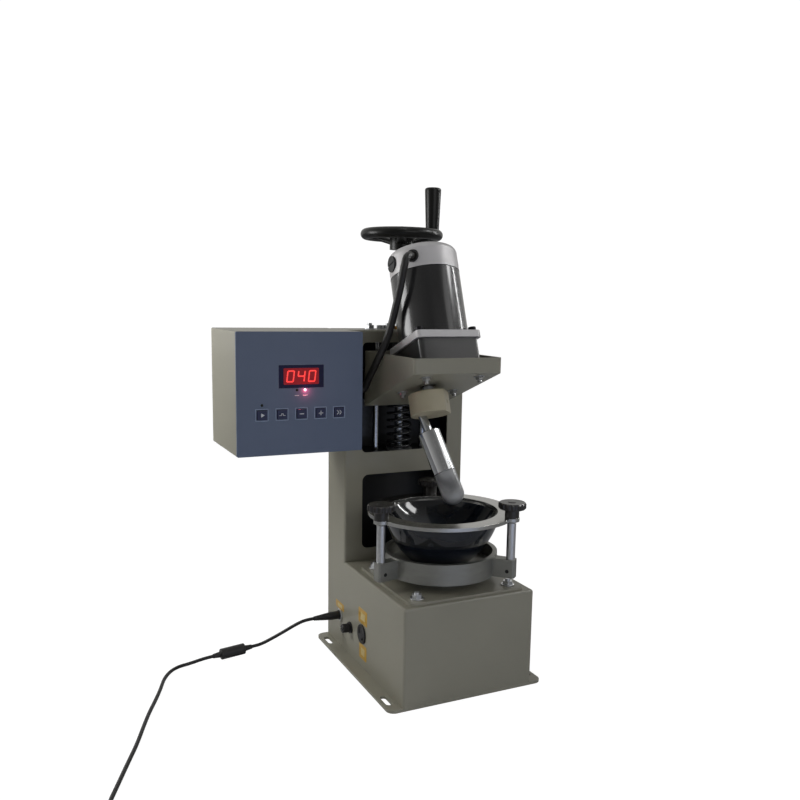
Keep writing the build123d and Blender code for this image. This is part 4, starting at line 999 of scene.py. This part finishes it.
def agate(name, light, dark, rough, band, warp):
    """Polished agate: curved bands of two tones, with a little cloud and fine pits."""
    material = surface(name, light, dark, rough, patch=band * 6, grain=0.0007, relief=0.000004, coat=0.4,
                       rough_drift=0.03, mirror=0.3)
    nodes = material.node_tree.nodes
    links = material.node_tree.links
    bands = nodes.new("ShaderNodeTexWave")
    bands.wave_type = "RINGS"
    bands.rings_direction = "SPHERICAL"
    bands.inputs["Scale"].default_value = 0.05 / band
    bands.inputs["Distortion"].default_value = warp
    bands.inputs["Detail"].default_value = 4
    bands.inputs["Detail Scale"].default_value = 2
    links.new(nodes["Mapping"].outputs["Vector"], bands.inputs["Vector"])
    layered = nodes.new("ShaderNodeMix")
    layered.data_type = "RGBA"
    layered.blend_type = "OVERLAY"
    layered.inputs["Factor"].default_value = 0.35
    shader = nodes["Principled BSDF"]
    links.new(shader.inputs["Base Color"].links[0].from_socket, layered.inputs["A"])
    links.new(bands.outputs["Color"], layered.inputs["B"])
    links.new(layered.outputs["Result"], shader.inputs["Base Color"])
    return material


dress("pestle", agate("agate_grey", colour(172, 172, 171), colour(140, 141, 142), 0.3, 0.004, 6))
head_centre = Vector((-0.012, 0.008, -0.0205))
flat_turn = radians(-40)
screw_local = Matrix.Translation(head_centre) @ Matrix((
    (-sin(flat_turn), 0, cos(flat_turn)), (cos(flat_turn), 0, sin(flat_turn)), (0, 1, 0)
)).to_4x4() @ Matrix.Translation((0, 0, 0.0172))
set_screw = turn_on_lathe(
    "head_set_screw", [(0, 0.0008), (0.0012, 0.0008), (0.0012, 0.002), (0.0021, 0.002), (0.0024, 0.0017),
                       (0.0024, -0.004), (0, -0.004)],
    drive @ screw_local, black_oxide, steps=6,
)
fix(set_screw, "pestle_head")

# Handwheel
# A black moulded wheel with a round rim, three spokes and a revolving grip on a steel post; a domed
# nut holds it on the lead screw.
wheel_gloss = surface(
    "wheel_gloss", colour(24, 24, 22), colour(14, 14, 13), 0.32, patch=0.03, grain=0.0012, relief=0.00003,
    coat=0.08, edge=0.0005, mirror=0.28,
)
dress("handwheel", wheel_gloss)
dress("handle_grip", wheel_gloss)
dress("grip_spindle", bright_zinc)
dome_nut = turn_on_lathe(
    "wheel_dome_nut",
    [(0, 0.0085), (0.0022, 0.0081), (0.0038, 0.0067), (0.0046, 0.0046), (0.0048, 0.004), (0.0066, 0.0036),
     (0.0072, 0.0028), (0.0072, 0.0002), (0.0068, 0)],
    Matrix.Translation((0, screw_y, 0.512)), bright_zinc, steps=36,
)
fix(dome_nut, "wheel")

# Mortar table
# A thick enamelled plate on four studs, the spindle's bearing and motor, and a turned aluminium
# holder whose three ears carry the clamp posts.
dress("mortar_plate", enamel)
dress("mortar_plate_nuts", bright_zinc)
dress("spindle_bearing", ground_steel)
dress("mortar_shaft", ground_steel)
dress("mortar_motor", motor_enamel)
satin_alloy = surface(
    "satin_alloy", colour(158, 158, 152), colour(138, 138, 133), 0.42, metal=0.75, patch=0.012,
    grain=0.0006,
    relief=0.00004, edge=0.0005, edge_colour=colour(190, 190, 186), stretch=(1, 1, 3),
)
dress("mortar_holder", satin_alloy)
polished_alloy = surface(
    "polished_alloy", colour(200, 200, 197), colour(172, 172, 169), 0.24, metal=1.0, patch=0.012,
    grain=0.0006,
    relief=0.00003, edge=0.0005, edge_colour=colour(226, 226, 223), stretch=(1, 1, 3),
)
dress("clamp_ring", polished_alloy)
dress("clamp_posts", bright_zinc)
mortar_centre = Vector((0, -0.040, 0))
plate_top = 0.116
table_washer = [
    (0.00585, 0), (0.0074, 0), (0.0076, 0.0002), (0.0076, 0.001), (0.0074, 0.0012), (0.00585, 0.0012)
]
table_washer.append(table_washer[0])
table_nut_half = 0.057
for i, (side_x, side_y) in enumerate(((-1, -1), (1, -1), (-1, 1), (1, 1))):
    x, y = side_x * table_nut_half, side_y * table_nut_half
    place = Matrix.Translation(mortar_centre + Vector((x, y, plate_top)))
    washer = turn_on_lathe(f"table_washer_{i}", table_washer, place, bright_zinc, steps=32)
    fix(washer, "frame")

# A set screw's hole on both sides of each ear, below the post that it holds, drawn as a flat near-black
# disc: painted shade standing in for the hole.
post_turns = {"right": -48, "rear": 72, "left": 192}
ear_half = 0.00625
hole_reach = 0.082
hole_z = 0.1345
for name, angle in post_turns.items():
    a = radians(angle)
    for side, side_name in ((-1, "near"), (1, "far")):
        out_way = Vector((-sin(a), cos(a), 0)) * side
        middle = mortar_centre + Vector((hole_reach * cos(a), hole_reach * sin(a), hole_z))
        place = on_face(middle + out_way * ear_half, Vector((0, 0, 1)).cross(out_way), (0, 0, 1))
        hole = turn_on_lathe(
            f"ear_hole_{name}_{side_name}", [(0, 0.00005), (0.0018, 0.00005), (0.0021, 0)], place,
            dark_recess, steps=24
        )
        fix(hole, "mortar")

# Mortar bowl and knobs
# A thick bowl of dark polished agate, pressed down by the clamp ring under three fluted knobs.
dress("mortar_bowl", agate("agate_dark", colour(35, 40, 49), colour(19, 23, 30), 0.1, 0.006, 5))
knob_plastic = surface(
    "knob_plastic", colour(50, 47, 45), colour(34, 32, 31), 0.32, patch=0.01, grain=0.0008, relief=0.00004,
    coat=0.25, edge=0.0004,
)
knob_top_z = 0.213
for name, angle in post_turns.items():
    dress(f"clamp_knob_{name}", knob_plastic)
    a = radians(angle)
    place = Matrix.Translation(mortar_centre + Vector((0.084 * cos(a), 0.084 * sin(a), knob_top_z)))
    disc = turn_on_lathe(
        f"knob_{name}_cap",
        [(0, 0.0006), (0.0042, 0.0006), (0.0048, 0.0004), (0.005, 0)],
        place, knob_plastic, steps=36,
    )
    fix(disc, f"knob_{name}")

# Power adapter
# A black moulded desktop adapter with a bare pale rating plate, a small lamp and four rubber feet.
dress("power_adapter", moulded_black)
adapter_y = -0.2344
adapter_lid_z = 0.026
adapter_place = on_face((-0.4884, adapter_y, adapter_lid_z), (1, 0, 0), (0, 1, 0))
plate = cut_plate(
    "adapter_plate", [rounded_outline(0.052, 0.028, 0.002)], 0.0002, adapter_place, white_print, 0.00005
)
fix(plate, "frame")
rules = [rounded_outline(0.044, 0.0006, 0.0002, (0, y * 0.001)) for y in (-8, -4, 0, 4, 8)]
ruled = cut_plate(
    "adapter_plate_rules", rules, 0.00004, adapter_place @ Matrix.Translation((0, 0, 0.0002)), ink
)
fix(ruled, "frame")
adapter_lamp = turn_on_lathe(
    "adapter_lamp", [(0, 0.0008), (0.0008, 0.0006), (0.0013, 0)],
    on_face((-0.4485, adapter_y, adapter_lid_z), (1, 0, 0), (0, 1, 0)),
    glowing("green_lamp", colour(60, 200, 90), 0.6, colour(110, 235, 130)), steps=20,
)
fix(adapter_lamp, "frame")
